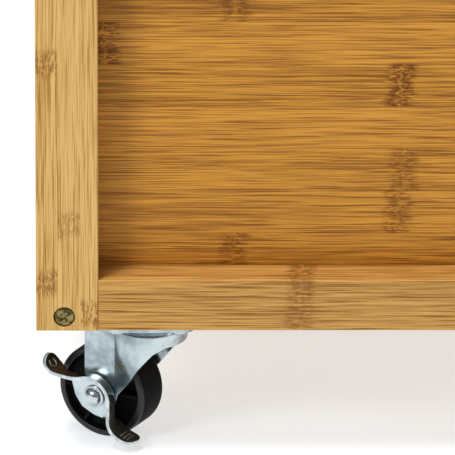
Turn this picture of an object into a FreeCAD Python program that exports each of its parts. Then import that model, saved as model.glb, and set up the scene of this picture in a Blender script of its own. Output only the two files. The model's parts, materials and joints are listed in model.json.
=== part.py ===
"""A bamboo rolling utility cart: frame, panels, drawer, side bars and four swivel casters.

Millimetres. +Z is up and the front is towards -Y. The origin is on the floor, under the middle
of the cart. A caster is made in a frame of its own: origin on the swivel axis at the underside
of the cart, +X the way that it leads, -Y its brake side.
"""

import FreeCAD, Part
import Sketcher

import os
import re

DIMENSIONS = [
    # Body
    ("cart_height", 800, "floor to worktop"),
    ("body_width", 480, "outer faces of the posts, left to right"),
    ("body_depth", 360, "outer faces of the posts, front to back"),
    ("caster_height", 72, "floor to the underside of the frame"),
    ("worktop_thick", 18, "worktop board"),
    ("worktop_overhang", 10, "worktop past the posts, all round"),
    ("worktop_corner", 8, "plan radius of the worktop's corners"),
    ("worktop_edge", 2.5, "rounding of the worktop's upper and lower edges"),
    ("edge_round", 0.8, "eased edge of every board"),
    ("post_wide", 32, "post, seen from the side"),
    ("post_thick", 26, "post, seen from the front, and side rails"),
    ("rail_tall", 28, "bottom side rails and top front rail"),
    ("top_rail_tall", 40, "top side rails and top back rail"),
    ("panel_thick", 6, "side panels and back panel"),
    ("panel_recess", 20, "side panel's face behind the face of the posts"),
    ("panel_bite", 6, "how far a panel sits in its rebate or groove"),
    ("back_inset", 6, "back panel's face in from the back of the cart"),
    ("shelf_thick", 15, "bottom and middle shelf"),
    ("shelf_groove", 5, "depth of the groove along the back of the bottom shelf"),
    ("middle_shelf_at", 340, "underside of the middle shelf"),
    ("shelf_gap", 1, "middle shelf clear of the panels"),
    ("shelf_front_gap", 4, "middle shelf's front edge behind the posts' front"),
    ("front_rail_thick", 20, "both front rails, front to back"),
    ("front_rail_tall", 20, "front rail under the drawer"),
    ("drawer_opening", 110, "height between the two front rails"),
    ("runner_wide", 12, "drawer runner"),
    ("runner_tall", 15, "drawer runner"),
    # Shelf pins, screws and dowels
    ("pin_reach", 2.5, "radius of a shelf pin"),
    ("pin_long", 16, "shelf pin, half of it in the post"),
    ("pin_inset", 18, "shelf pin in from the post's outer face"),
    ("pin_step", 32, "spacing of the spare shelf pin holes"),
    ("wall_gap", 0.05, "all round a fixed pin, screw or dowel"),
    ("screw_reach", 2.5, "radius of a frame screw's shank"),
    ("screw_head_reach", 5.25, "radius of a frame screw's head"),
    ("screw_head_tall", 2.6, "frame screw's head"),
    ("screw_head_sunk", 0.3, "frame screw's head below the post's face"),
    ("screw_long", 42, "frame screw"),
    ("screw_inset", 14.5, "frame screw in from the post's front or back face"),
    ("counterbore_reach", 5.6, "radius of the recess for a frame screw's head"),
    ("dowel_reach", 4, "radius of a dowel"),
    ("dowel_long", 30, "dowel, half in each piece"),
    ("dowel_inset", 10, "dowel in from the outer face of the post or rail"),
    ("top_dowels_apart", 16, "between the two dowels in each end of a top side rail"),
    ("shelf_dowel_apart", 120, "between the dowels that join shelf and side rail"),
    ("wood_screw_reach", 2, "radius of a caster or worktop screw's shank"),
    ("wood_screw_head_reach", 3.6, "radius of its head"),
    ("wood_screw_head_tall", 2.2, "height of its head"),
    ("top_screw_long", 38, "worktop screw"),
    ("top_screw_sunk", 15, "depth of the hole that a worktop screw goes up"),
    ("top_screw_apart", 150, "between the worktop screws of one side"),
    # Drawer
    ("drawer_gap", 2, "drawer clear of its opening"),
    ("drawer_rest_gap", 0.5, "drawer clear of its runners"),
    ("drawer_front_thick", 16, "drawer front"),
    ("drawer_side_thick", 10, "drawer sides and back"),
    ("drawer_side_tall", 85, "drawer sides and back"),
    ("drawer_side_long", 280, "drawer sides"),
    ("drawer_base_thick", 4, "drawer bottom"),
    ("drawer_base_up", 6, "drawer bottom above the lower edge of the sides"),
    ("drawer_groove", 5, "depth of the groove that holds the drawer bottom"),
    ("knob_reach", 13, "radius of the knob"),
    ("knob_neck_reach", 6, "radius of its neck"),
    ("knob_long", 24, "knob, front to back"),
    ("knob_neck_long", 12, "neck of the knob"),
    ("knob_slope", 2, "slope from the neck out to the knob's rim"),
    # Side bars
    ("bar_reach", 8, "radius of a side bar"),
    ("bar_out", 42, "side bar's axis out from the posts"),
    ("bar_down", 60, "side bar's axis below the top of the cart"),
    ("bracket_wide", 24, "bracket, front to back"),
    ("bracket_tall", 30, "bracket, bottom to top"),
    ("bracket_nose", 12, "bracket past the bar's axis"),
    ("bracket_inset", 4, "bracket in from the front or back face of the post"),
    ("bar_in_bracket", 14, "length of bar held in each bracket"),
    # Casters
    ("swivel_from_end", 57.7, "swivel axis in from the front or back face"),
    ("swivel_from_side", 27.5, "swivel axis in from the side face"),
    ("plate_long", 52, "caster plate, left to right"),
    ("plate_wide", 46, "caster plate, front to back"),
    ("plate_thick", 2, "caster plate"),
    ("plate_corner", 5, "corner radius of the caster plate"),
    ("slot_apart_long", 38, "between slots, left to right"),
    ("slot_apart_wide", 32, "between slots, front to back"),
    ("slot_wide", 5, "width of a slot"),
    ("slot_long", 8, "length of a slot"),
    ("caster_screw_long", 13, "caster screw above the plate"),
    ("crown_top", 4.5, "top of the fork below the frame"),
    ("crown_reach", 20, "radius of the fork's crown"),
    ("crown_round", 4, "rounding of the crown's upper edge"),
    ("skirt_low", 14, "lower edge of the crown's skirt below the frame"),
    ("sheet_thick", 1.8, "pressed steel of the fork"),
    ("fork_outer", 15.2, "outer face of a fork leg from the middle of the wheel"),
    ("leg_back", 29.4, "rear edge of a leg behind the swivel axis"),
    ("leg_front", 10.8, "crease where a leg meets the hood, behind the swivel axis"),
    ("hood_bite", 1.2, "how far the hood runs into a leg behind the crease"),
    ("ball_reach", 1.5, "radius of a bearing ball"),
    ("ball_ring", 13, "radius of the ring of balls"),
    ("ball_down", 3.25, "middle of the balls below the frame"),
    ("kingpin_reach", 4, "radius of the kingpin"),
    ("kingpin_head_reach", 7, "radius of its lower head"),
    ("kingpin_head_tall", 3, "lower head of the kingpin"),
    ("turning_gap", 0.08, "all round a pin that something turns on"),
    ("clear_gap", 0.3, "between pieces that move past each other"),
    ("wheel_reach", 25, "radius of the wheel"),
    ("wheel_wide", 21, "width of the tread"),
    ("wheel_rim", 3.5, "raised rim ring, inwards from the tread"),
    ("wheel_recess", 5, "depth of the web below the rim"),
    ("wheel_edge", 1.6, "rounding of the tread's two edges"),
    ("hub_reach", 7.5, "radius of the hub"),
    ("hub_wide", 24.4, "width of the hub"),
    ("rib_thick", 1.8, "ribs between hub and rim"),
    ("rib_wide", 19, "ribs, from side to side"),
    ("rib_bite", 0.5, "how far a rib runs into the rim"),
    ("trail_long", 22.5, "axle behind the swivel axis"),
    ("axle_reach", 3, "radius of the axle bolt"),
    ("bolt_head_reach", 6, "radius of its domed head"),
    ("bolt_head_tall", 4, "height of its head"),
    ("bolt_head_round", 2.8, "rounding of its head"),
    ("bolt_tail", 1.5, "bolt past the nut"),
    ("nut_reach", 5.77, "radius of the nut's corners"),
    ("nut_thick", 5, "nut"),
    # Brake lever
    ("lever_thick", 2, "metal of the brake lever"),
    ("lever_disc_reach", 12, "radius of the lever's disc round the axle"),
    ("lever_room", 14.9, "radius round the axle kept free for the lever, outside the legs"),
    ("strip_outer", 22.5, "strip's outer edge from the middle of the wheel"),
    ("pedal_inner", 11.5, "pedal's inner edge from the middle of the wheel"),
    ("pedal_outer", 24, "pedal's outer edge from the middle of the wheel"),
]

# Corner name: left (-1) or right (+1), front (-1) or rear (+1), the way that its caster points
CORNERS = {
    "front_right": (1, -1, 60),
    "front_left": (-1, -1, 240),
    "rear_right": (1, 1, 130),
    "rear_left": (-1, 1, 335),
}
BRAKED = ("front_right", "front_left")
SIDES = {"right": 1, "left": -1}
BALLS = 12
RIB_TURNS = (0, 60, 120)
TURN_ONTO = {
    "x": FreeCAD.Rotation(FreeCAD.Vector(0, 1, 0), 90),
    "y": FreeCAD.Rotation(FreeCAD.Vector(1, 0, 0), -90),
    "z": FreeCAD.Rotation(),
}
ORIGIN = ("0", "0", "0")

doc = FreeCAD.newDocument("UtilityCart")
sheet = doc.addObject("Spreadsheet::Sheet", "Sizes")
parts = []


def fill_sheet():
    """Puts each driving dimension in a row of the sheet: name, value and note."""
    for row, (alias, size, note) in enumerate(DIMENSIONS, start=1):
        sheet.set(f"A{row}", alias)
        sheet.set(f"B{row}", str(size))
        sheet.set(f"C{row}", note)
        sheet.setAlias(f"B{row}", alias)
    doc.recompute()


def bound(text):
    """A formula in dimension names, as an expression that reads the sheet."""
    return re.sub(r"[a-z]+(?:_[a-z]+)+", r"Sizes.\g<0>", str(text))


def value(text):
    """What a formula comes to, in millimetres."""
    return float(sheet.evalExpression(bound(text)))


def bind(thing, formulas):
    """Binds an object's properties to formulas."""
    for name, formula in formulas.items():
        thing.setExpression(name, bound(formula))


def place(thing, point, axis="z", turn=None):
    """Puts an object's origin at a point given as three formulas, with its own Z along an axis."""
    thing.Placement = FreeCAD.Placement(FreeCAD.Vector(), turn or TURN_ONTO[axis])
    for name, formula in zip("xyz", point):
        thing.setExpression(f"Placement.Base.{name}", bound(formula))


def mirrored(side, near, far):
    """The span between two distances from the middle, on the side asked for."""
    return (near, far) if side > 0 else (f"-({far})", f"-({near})")


def signed(side, distance):
    """A distance from the middle, on the side asked for."""
    return f"{side} * ({distance})"


class Piece:
    """One solid sub-part: a PartDesign body, made in a frame of its own and then put in place."""

    def __init__(self, label, corner=ORIGIN, turn=None):
        self.label = label
        self.corner = corner
        self.body = doc.addObject("PartDesign::Body", label)
        self.body.Label = label
        place(self.body, corner, turn=turn)
        self.count = 0
        parts.append(self.body)

    def local(self, point):
        """A point of the cart's frame, in the piece's own frame."""
        return [f"({far}) - ({near})" for far, near in zip(point, self.corner)]

    def feature(self, kind):
        self.count += 1
        return self.body.newObject(f"PartDesign::{kind}", f"{self.label}_{self.count}")

    def block(self, spans, cut=False, turn=None):
        """Adds or cuts a box, given as its low and high limit on each axis."""
        box = self.feature("SubtractiveBox" if cut else "AdditiveBox")
        for name, (low, high) in zip(("Length", "Width", "Height"), spans):
            box.setExpression(name, bound(f"({high}) - ({low})"))
        place(box, self.local([low for low, high in spans]), turn=turn)
        return box

    def rod(self, start, axis, reach, length, cut=False):
        """Adds or cuts a cylinder that runs from a point along an axis."""
        rod = self.feature("SubtractiveCylinder" if cut else "AdditiveCylinder")
        bind(rod, {"Radius": reach, "Height": length})
        place(rod, self.local(start), axis)
        return rod

    def ring_groove(self, centre, ring, reach):
        """Cuts a round-bottomed groove that runs in a level circle."""
        groove = self.feature("SubtractiveTorus")
        bind(groove, {"Radius1": ring, "Radius2": reach})
        place(groove, self.local(centre))

    def outline(self, points, role, offset=None):
        """A closed sketch on an origin plane, through corners that are bound to the sheet."""
        plane = [f for f in self.body.Origin.OriginFeatures if f.Role == role][0]
        self.count += 1
        sketch = self.body.newObject("Sketcher::SketchObject", f"{self.label}_{self.count}")
        sketch.AttachmentSupport = [(plane, "")]
        sketch.MapMode = "FlatFace"
        for name, formula in zip("xyz", offset or ()):
            sketch.setExpression(f"AttachmentOffset.Base.{name}", bound(formula))
        ends = [FreeCAD.Vector(value(x), value(y), 0) for x, y in points]
        for number, end in enumerate(ends):
            sketch.addGeometry(Part.LineSegment(end, ends[(number + 1) % len(ends)]))
        for number, point in enumerate(points):
            following = (number + 1) % len(ends)
            sketch.addConstraint(Sketcher.Constraint("Coincident", number, 2, following, 1))
            for kind, formula in zip(("DistanceX", "DistanceY"), point):
                rule = Sketcher.Constraint(kind, -1, 1, number, 1, value(formula))
                sketch.setExpression(f"Constraints[{sketch.addConstraint(rule)}]", bound(formula))
        return sketch

    def revolve(self, points, role, about, offset=None):
        """A solid of revolution about the sketch's own H_Axis or V_Axis."""
        sketch = self.outline(points, role, offset)
        solid = self.feature("Revolution")
        solid.Profile = sketch
        solid.ReferenceAxis = (sketch, [about])
        solid.Angle = 360
        return solid

    def trim(self, points, role):
        """Cuts an outline right through, both ways from its plane."""
        doc.recompute()
        before = self.body.Shape.Volume
        pocket = self.feature("Pocket")
        pocket.Profile = self.outline(points, role)
        pocket.Type = "ThroughAll"
        pocket.SideType = "Symmetric"
        self.body.Tip = pocket
        doc.recompute()
        if self.body.Shape.Volume >= before:
            raise RuntimeError(f"{self.label}: the trim cut nothing")

    def round_edges(self, radius, chosen):
        """Rounds the edges of the solid so far that a test picks out."""
        doc.recompute()
        base = self.body.Tip
        edges = enumerate(base.Shape.Edges, start=1)
        names = [f"Edge{number}" for number, edge in edges if chosen(edge)]
        if not names:
            raise RuntimeError(f"{self.label}: no edge to round")
        fillet = self.feature("Fillet")
        fillet.Base = (base, names)
        fillet.setExpression("Radius", bound(radius))


def length_along(edge, axis):
    return getattr(edge.BoundBox, f"{axis.upper()}Length")


def board(label, x_span, y_span, z_span):
    """A plank between its limits on each axis, with its four long edges eased."""
    spans = (x_span, y_span, z_span)
    piece = Piece(label, corner=[low for low, high in spans])
    piece.block(spans)
    lengths = {axis: value(f"({high}) - ({low})") for axis, (low, high) in zip("xyz", spans)}
    grain = max(lengths, key=lengths.get)
    piece.round_edges("edge_round", lambda edge: length_along(edge, grain) > lengths[grain] / 2)
    return piece


class Group:
    """Identical loose fasteners that share one node, each a separate solid."""

    def __init__(self, label):
        self.label = label
        self.members = []

    def solid(self, kind, sizes, point, axis="z"):
        part = doc.addObject(f"Part::{kind}", f"{self.label}_piece")
        bind(part, sizes)
        place(part, point, axis)
        return part

    def rod(self, start, axis, reach, length):
        return self.solid("Cylinder", {"Radius": reach, "Height": length}, start, axis)

    def add(self, *solids):
        """Adds one fastener, made of one solid or of several that are fused."""
        member = solids[0]
        if len(solids) > 1:
            member = doc.addObject("Part::MultiFuse", f"{self.label}_whole")
            member.Shapes = list(solids)
        self.members.append(member)

    def close(self):
        group = doc.addObject("Part::Compound", self.label)
        group.Label = self.label
        group.Links = self.members
        parts.append(group)


# Limits that several pieces share, as formulas

HALF_WIDTH = "body_width / 2"
HALF_DEPTH = "body_depth / 2"
FRAME_TOP = "cart_height - worktop_thick"
POST_INNER_X = f"{HALF_WIDTH} - post_thick"
POST_INNER_Y = f"{HALF_DEPTH} - post_wide"
PANEL_FACE_X = f"{HALF_WIDTH} - panel_recess"
PANEL_BACK_X = f"{HALF_WIDTH} - panel_recess - panel_thick"
BACK_PANEL_Y = (f"{HALF_DEPTH} - back_inset - panel_thick", f"{HALF_DEPTH} - back_inset")
RAIL_TOP_Z = "caster_height + rail_tall"
TOP_RAIL_Z = f"{FRAME_TOP} - top_rail_tall"
SIDE_PANEL_Z = (f"{RAIL_TOP_Z} - panel_bite", f"{TOP_RAIL_Z} + panel_bite")
SHELF_TOP_Z = "caster_height + shelf_thick"
BACK_PANEL_Z = (f"{SHELF_TOP_Z} - shelf_groove", f"{TOP_RAIL_Z} + panel_bite")
DRAWER_TOP_Z = f"{FRAME_TOP} - rail_tall"
DRAWER_LOW_Z = f"{DRAWER_TOP_Z} - drawer_opening"
FRONT_RAIL_Y = (f"-{HALF_DEPTH}", f"front_rail_thick - {HALF_DEPTH}")
SCREW_Y = f"{HALF_DEPTH} - screw_inset"
FRONT_SCREW_Y = f"{HALF_DEPTH} - front_rail_thick / 2"
PIN_Y = f"{HALF_DEPTH} - pin_inset"
PIN_Z = "middle_shelf_at - pin_reach"
DOWEL_X = f"{HALF_WIDTH} - dowel_inset"
BAR_X = f"{HALF_WIDTH} + bar_out"
BAR_Z = "cart_height - bar_down"
BRACKET_Y = (f"{HALF_DEPTH} - bracket_inset - bracket_wide", f"{HALF_DEPTH} - bracket_inset")
BRACKET_MIDDLE_Y = f"{HALF_DEPTH} - bracket_inset - bracket_wide / 2"
BAR_END_Y = f"{BRACKET_Y[0]} + bar_in_bracket"

# Frame screws run in from the side: front (-1) or rear (+1), distance from the middle, height
SCREW_PLACES = [
    (-1, SCREW_Y, "caster_height + shelf_thick / 2"),
    (1, SCREW_Y, "caster_height + shelf_thick / 2"),
    (-1, FRONT_SCREW_Y, f"{DRAWER_LOW_Z} - front_rail_tall / 2"),
    (-1, FRONT_SCREW_Y, f"{DRAWER_TOP_Z} + rail_tall / 2"),
    (1, SCREW_Y, f"{FRAME_TOP} - top_rail_tall / 2"),
]
# Heights of the dowels in the ends of the side rails
BOTTOM_DOWEL_Z = f"{RAIL_TOP_Z} - dowel_inset"
TOP_DOWELS_Z = (f"{FRAME_TOP} - dowel_inset", f"{FRAME_TOP} - dowel_inset - top_dowels_apart")


def make_posts():
    for name, (side, end, _) in CORNERS.items():
        post = board(
            f"post_{name}",
            mirrored(side, POST_INNER_X, HALF_WIDTH),
            mirrored(end, POST_INNER_Y, HALF_DEPTH),
            ("caster_height", FRAME_TOP),
        )
        rebate_y = mirrored(end, POST_INNER_Y, f"{POST_INNER_Y} + panel_bite")
        post.block((mirrored(side, PANEL_BACK_X, PANEL_FACE_X), rebate_y, SIDE_PANEL_Z), cut=True)
        if end > 0:
            groove_x = mirrored(side, POST_INNER_X, f"{POST_INNER_X} + panel_bite")
            post.block((groove_x, BACK_PANEL_Y, BACK_PANEL_Z), cut=True)
        for screw_end, screw_y, screw_z in SCREW_PLACES:
            if screw_end == end:
                bore_screw_hole(post, side, signed(end, screw_y), screw_z)
        for step in (-1, 0, 1):
            start, _ = mirrored(side, POST_INNER_X, f"{POST_INNER_X} + pin_long / 2")
            hole = (start, signed(end, PIN_Y), f"{PIN_Z} + {step} * pin_step")
            post.rod(hole, "x", "pin_reach + wall_gap", "pin_long / 2", cut=True)
        for dowel_z in (BOTTOM_DOWEL_Z, *TOP_DOWELS_Z):
            start, _ = mirrored(end, POST_INNER_Y, f"{POST_INNER_Y} + dowel_long / 2")
            hole = (signed(side, DOWEL_X), start, dowel_z)
            post.rod(hole, "y", "dowel_reach + wall_gap", "dowel_long / 2", cut=True)
        start, _ = mirrored(side, f"{HALF_WIDTH} - dowel_long / 2", HALF_WIDTH)
        hole = (start, signed(end, BRACKET_MIDDLE_Y), BAR_Z)
        post.rod(hole, "x", "dowel_reach + wall_gap", "dowel_long / 2", cut=True)


def bore_screw_hole(piece, side, y, z):
    """The clearance hole and counterbore that a frame screw goes through."""
    start, _ = mirrored(side, POST_INNER_X, HALF_WIDTH)
    piece.rod((start, y, z), "x", "screw_reach + wall_gap", "post_thick", cut=True)
    depth = "screw_head_tall + screw_head_sunk"
    start, _ = mirrored(side, f"{HALF_WIDTH} - ({depth})", HALF_WIDTH)
    piece.rod((start, y, z), "x", "counterbore_reach", depth, cut=True)


def bore_screw_ends(piece, places):
    """The holes in both ends of a cross piece that the frame screws bite into."""
    depth = "screw_long + screw_head_sunk - post_thick"
    for side in SIDES.values():
        start, _ = mirrored(side, f"{POST_INNER_X} - ({depth})", POST_INNER_X)
        for y, z in places:
            piece.rod((start, y, z), "x", "screw_reach + wall_gap", depth, cut=True)


def make_side_frames():
    for name, side in SIDES.items():
        x_span = mirrored(side, POST_INNER_X, HALF_WIDTH)
        rebate_x = mirrored(side, PANEL_BACK_X, PANEL_FACE_X)
        y_span = (f"-({POST_INNER_Y})", POST_INNER_Y)
        low = board(f"side_rail_bottom_{name}", x_span, y_span, ("caster_height", RAIL_TOP_Z))
        low.block((rebate_x, y_span, (f"{RAIL_TOP_Z} - panel_bite", RAIL_TOP_Z)), cut=True)
        high = board(f"side_rail_top_{name}", x_span, y_span, (TOP_RAIL_Z, FRAME_TOP))
        high.block((rebate_x, y_span, (TOP_RAIL_Z, f"{TOP_RAIL_Z} + panel_bite")), cut=True)
        for rail, heights in ((low, [BOTTOM_DOWEL_Z]), (high, TOP_DOWELS_Z)):
            for end in (-1, 1):
                start, _ = mirrored(end, f"{POST_INNER_Y} - dowel_long / 2", POST_INNER_Y)
                for dowel_z in heights:
                    hole = (signed(side, DOWEL_X), start, dowel_z)
                    rail.rod(hole, "y", "dowel_reach + wall_gap", "dowel_long / 2", cut=True)
        bore_shelf_dowels(low, mirrored(side, POST_INNER_X, f"{POST_INNER_X} + dowel_long / 2")[0])
        bore_caster_screws(low, side, 1)
        for end in (-1, 1):
            middle = (signed(side, f"{HALF_WIDTH} - post_thick / 2"), f"{end} * top_screw_apart / 2")
            sunk = (*middle, TOP_RAIL_Z)
            high.rod(sunk, "z", "wood_screw_head_reach + clear_gap", "top_screw_sunk", cut=True)
            high.rod(sunk, "z", "wood_screw_reach + wall_gap", "top_rail_tall", cut=True)
        panel_y = (f"-({POST_INNER_Y} + panel_bite)", f"{POST_INNER_Y} + panel_bite")
        panel = Piece(f"side_panel_{name}", (rebate_x[0], panel_y[0], SIDE_PANEL_Z[0]))
        panel.block((rebate_x, panel_y, SIDE_PANEL_Z))


def bore_shelf_dowels(piece, start_x):
    """The holes of the dowels that join the bottom shelf to a side rail."""
    for end in (-1, 1):
        hole = (start_x, f"{end} * shelf_dowel_apart / 2", "caster_height + shelf_thick / 2")
        piece.rod(hole, "x", "dowel_reach + wall_gap", "dowel_long / 2", cut=True)


def swivel_point(side, end):
    """Where a caster's swivel axis meets the underside of the cart."""
    x = signed(side, f"{HALF_WIDTH} - swivel_from_side")
    y = signed(end, f"{HALF_DEPTH} - swivel_from_end")
    return (x, y, "caster_height")


def bore_caster_screws(piece, side, outwards):
    """The caster screws' holes on one side of the cart, in the row outside or inside the swivel."""
    for end in (-1, 1):
        x, y, z = swivel_point(side, end)
        for across in (-1, 1):
            row_x = f"{x} + {side * outwards} * slot_apart_long / 2"
            hole = (row_x, f"{y} + {across} * slot_apart_wide / 2", z)
            piece.rod(hole, "z", "wood_screw_reach + wall_gap", "caster_screw_long", cut=True)


def make_shelves_and_back():
    inner_x = (f"-({POST_INNER_X})", POST_INNER_X)
    full_y = (f"-{HALF_DEPTH}", HALF_DEPTH)
    bottom = board("bottom_shelf", inner_x, full_y, ("caster_height", SHELF_TOP_Z))
    bottom.block((inner_x, BACK_PANEL_Y, (f"{SHELF_TOP_Z} - shelf_groove", SHELF_TOP_Z)), cut=True)
    shelf_z = "caster_height + shelf_thick / 2"
    bore_screw_ends(bottom, [(f"-({SCREW_Y})", shelf_z), (SCREW_Y, shelf_z)])
    for side in SIDES.values():
        start = mirrored(side, f"{POST_INNER_X} - dowel_long / 2", POST_INNER_X)[0]
        bore_shelf_dowels(bottom, start)
        bore_caster_screws(bottom, side, -1)

    shelf_x = (f"-({POST_INNER_X} - shelf_gap)", f"{POST_INNER_X} - shelf_gap")
    shelf_y = (f"shelf_front_gap - {HALF_DEPTH}", f"{BACK_PANEL_Y[0]} - shelf_gap")
    board("middle_shelf", shelf_x, shelf_y, ("middle_shelf_at", "middle_shelf_at + shelf_thick"))

    panel_x = (f"-({POST_INNER_X} + panel_bite)", f"{POST_INNER_X} + panel_bite")
    panel = Piece("back_panel", (panel_x[0], BACK_PANEL_Y[0], BACK_PANEL_Z[0]))
    panel.block((panel_x, BACK_PANEL_Y, BACK_PANEL_Z))

    back_y = (f"{HALF_DEPTH} - post_thick", HALF_DEPTH)
    back = board("back_rail_top", inner_x, back_y, (TOP_RAIL_Z, FRAME_TOP))
    back.block((inner_x, BACK_PANEL_Y, (TOP_RAIL_Z, f"{TOP_RAIL_Z} + panel_bite")), cut=True)
    bore_screw_ends(back, [(SCREW_Y, f"{FRAME_TOP} - top_rail_tall / 2")])


def make_front_rails_and_runners():
    inner_x = (f"-({POST_INNER_X})", POST_INNER_X)
    screw_y = f"-({FRONT_SCREW_Y})"
    top = board("front_rail_top", inner_x, FRONT_RAIL_Y, (DRAWER_TOP_Z, FRAME_TOP))
    bore_screw_ends(top, [(screw_y, f"{DRAWER_TOP_Z} + rail_tall / 2")])
    middle_z = (f"{DRAWER_LOW_Z} - front_rail_tall", DRAWER_LOW_Z)
    middle = board("front_rail_middle", inner_x, FRONT_RAIL_Y, middle_z)
    bore_screw_ends(middle, [(screw_y, f"{DRAWER_LOW_Z} - front_rail_tall / 2")])
    for name, side in SIDES.items():
        board(
            f"drawer_runner_{name}",
            mirrored(side, f"{POST_INNER_X} - runner_wide", POST_INNER_X),
            (FRONT_RAIL_Y[1], BACK_PANEL_Y[0]),
            (f"{DRAWER_LOW_Z} - runner_tall", DRAWER_LOW_Z),
        )


def make_worktop():
    half_x = f"{HALF_WIDTH} + worktop_overhang"
    half_y = f"{HALF_DEPTH} + worktop_overhang"
    spans = ((f"-({half_x})", half_x), (f"-({half_y})", half_y), (FRAME_TOP, "cart_height"))
    top = Piece("worktop", [low for low, high in spans])
    top.block(spans)
    thick = value("worktop_thick")
    top.round_edges("worktop_corner", lambda edge: length_along(edge, "z") > thick / 2)
    top.round_edges("worktop_edge", lambda edge: length_along(edge, "z") < thick / 2)
    depth = "top_screw_long + top_screw_sunk - top_rail_tall"
    for side in SIDES.values():
        for end in (-1, 1):
            x = signed(side, f"{HALF_WIDTH} - post_thick / 2")
            hole = (x, f"{end} * top_screw_apart / 2", FRAME_TOP)
            top.rod(hole, "z", "wood_screw_reach + wall_gap", depth, cut=True)


def make_side_bars():
    for name, side in SIDES.items():
        bar = Piece(f"side_bar_{name}", (signed(side, BAR_X), f"-({BAR_END_Y})", BAR_Z))
        bar.rod(bar.corner, "y", "bar_reach", f"2 * ({BAR_END_Y})")

        brackets = Group(f"side_bar_brackets_{name}")
        for end in (-1, 1):
            brackets.add(bracket(name, side, end))
        brackets.close()


def bracket(name, side, end):
    """A wooden block that holds one end of a side bar, with a hole for its dowel."""
    label = f"bracket_{name}_{'rear' if end > 0 else 'front'}"
    x_span = mirrored(side, HALF_WIDTH, f"{BAR_X} + bracket_nose")
    y_span = mirrored(end, *BRACKET_Y)
    z_span = (f"{BAR_Z} - bracket_tall / 2", f"{BAR_Z} + bracket_tall / 2")
    block = Piece(label, (x_span[0], y_span[0], z_span[0]))
    parts.remove(block.body)
    block.block((x_span, y_span, z_span))
    reach = value(f"{BAR_X} + bracket_nose - {HALF_WIDTH}") / 2

    def at_nose(edge):
        outwards = edge.CenterOfMass.x > reach if side > 0 else edge.CenterOfMass.x < reach
        return outwards and length_along(edge, "y") > 1

    block.round_edges("bracket_nose - worktop_edge", at_nose)
    start, _ = mirrored(end, BRACKET_Y[0], BAR_END_Y)
    hole = (signed(side, BAR_X), start, BAR_Z)
    block.rod(hole, "y", "bar_reach + wall_gap", "bar_in_bracket", cut=True)
    start, _ = mirrored(side, HALF_WIDTH, f"{HALF_WIDTH} + dowel_long / 2")
    hole = (start, signed(end, BRACKET_MIDDLE_Y), BAR_Z)
    block.rod(hole, "x", "dowel_reach + wall_gap", "dowel_long / 2", cut=True)
    return block.body


def make_drawer():
    half_x = f"{POST_INNER_X} - drawer_gap"
    low_z = f"{DRAWER_LOW_Z} + drawer_rest_gap"
    front_y = (FRONT_RAIL_Y[1], f"{FRONT_RAIL_Y[1]} + drawer_front_thick")
    back_end_y = f"{front_y[1]} + drawer_side_long"
    base_z = (f"{low_z} + drawer_base_up", f"{low_z} + drawer_base_up + drawer_base_thick")
    inner_x = f"{half_x} - drawer_side_thick"
    base_x = (f"-({inner_x} + drawer_groove)", f"{inner_x} + drawer_groove")
    base_y = (f"{front_y[1]} - drawer_groove", f"{back_end_y} - drawer_groove")
    base = (base_x, base_y, base_z)
    knob_at = ("0", front_y[0], f"{DRAWER_LOW_Z} + drawer_opening / 2")

    front_z = (f"{DRAWER_LOW_Z} + drawer_gap", f"{DRAWER_TOP_Z} - drawer_gap")
    front = board("drawer_front", (f"-({half_x})", half_x), front_y, front_z)
    front.block(base, cut=True)
    front.rod(knob_at, "y", "wood_screw_reach + wall_gap", "drawer_front_thick", cut=True)
    for name, side in SIDES.items():
        x_span = mirrored(side, inner_x, half_x)
        z_span = (low_z, f"{low_z} + drawer_side_tall")
        wall = board(f"drawer_side_{name}", x_span, (front_y[1], back_end_y), z_span)
        wall.block(base, cut=True)
    back_y = (f"{back_end_y} - drawer_side_thick", back_end_y)
    back_z = (low_z, f"{low_z} + drawer_side_tall")
    back = board("drawer_back", (f"-({inner_x})", inner_x), back_y, back_z)
    back.block(base, cut=True)
    floor = Piece("drawer_bottom", (base_x[0], base_y[0], base_z[0]))
    floor.block(base)

    knob = Piece("drawer_knob", knob_at)
    profile = [
        ("wood_screw_reach + wall_gap", "0"),
        ("knob_neck_reach", "0"),
        ("knob_neck_reach", "knob_neck_long"),
        ("knob_reach", "knob_neck_long + knob_slope"),
        ("knob_reach", "knob_long"),
        ("0", "knob_long"),
        ("0", "knob_neck_long + knob_slope"),
        ("wood_screw_reach + wall_gap", "knob_neck_long + knob_slope"),
    ]
    towards_front = [(x, f"-({y})") for x, y in profile]
    knob.revolve(towards_front, "XY_Plane", "V_Axis")
    rim = value("knob_reach")
    knob.round_edges("worktop_edge", lambda edge: abs(length_along(edge, "x") - 2 * rim) < 0.01)

    screw = Piece("drawer_knob_screw", knob_at)
    inside = ("0", front_y[1], knob_at[2])
    screw.rod(inside, "y", "wood_screw_head_reach", "wood_screw_head_tall")
    start = ("0", f"{front_y[0]} - knob_neck_long", knob_at[2])
    screw.rod(start, "y", "wood_screw_reach", "drawer_front_thick + knob_neck_long")


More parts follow.
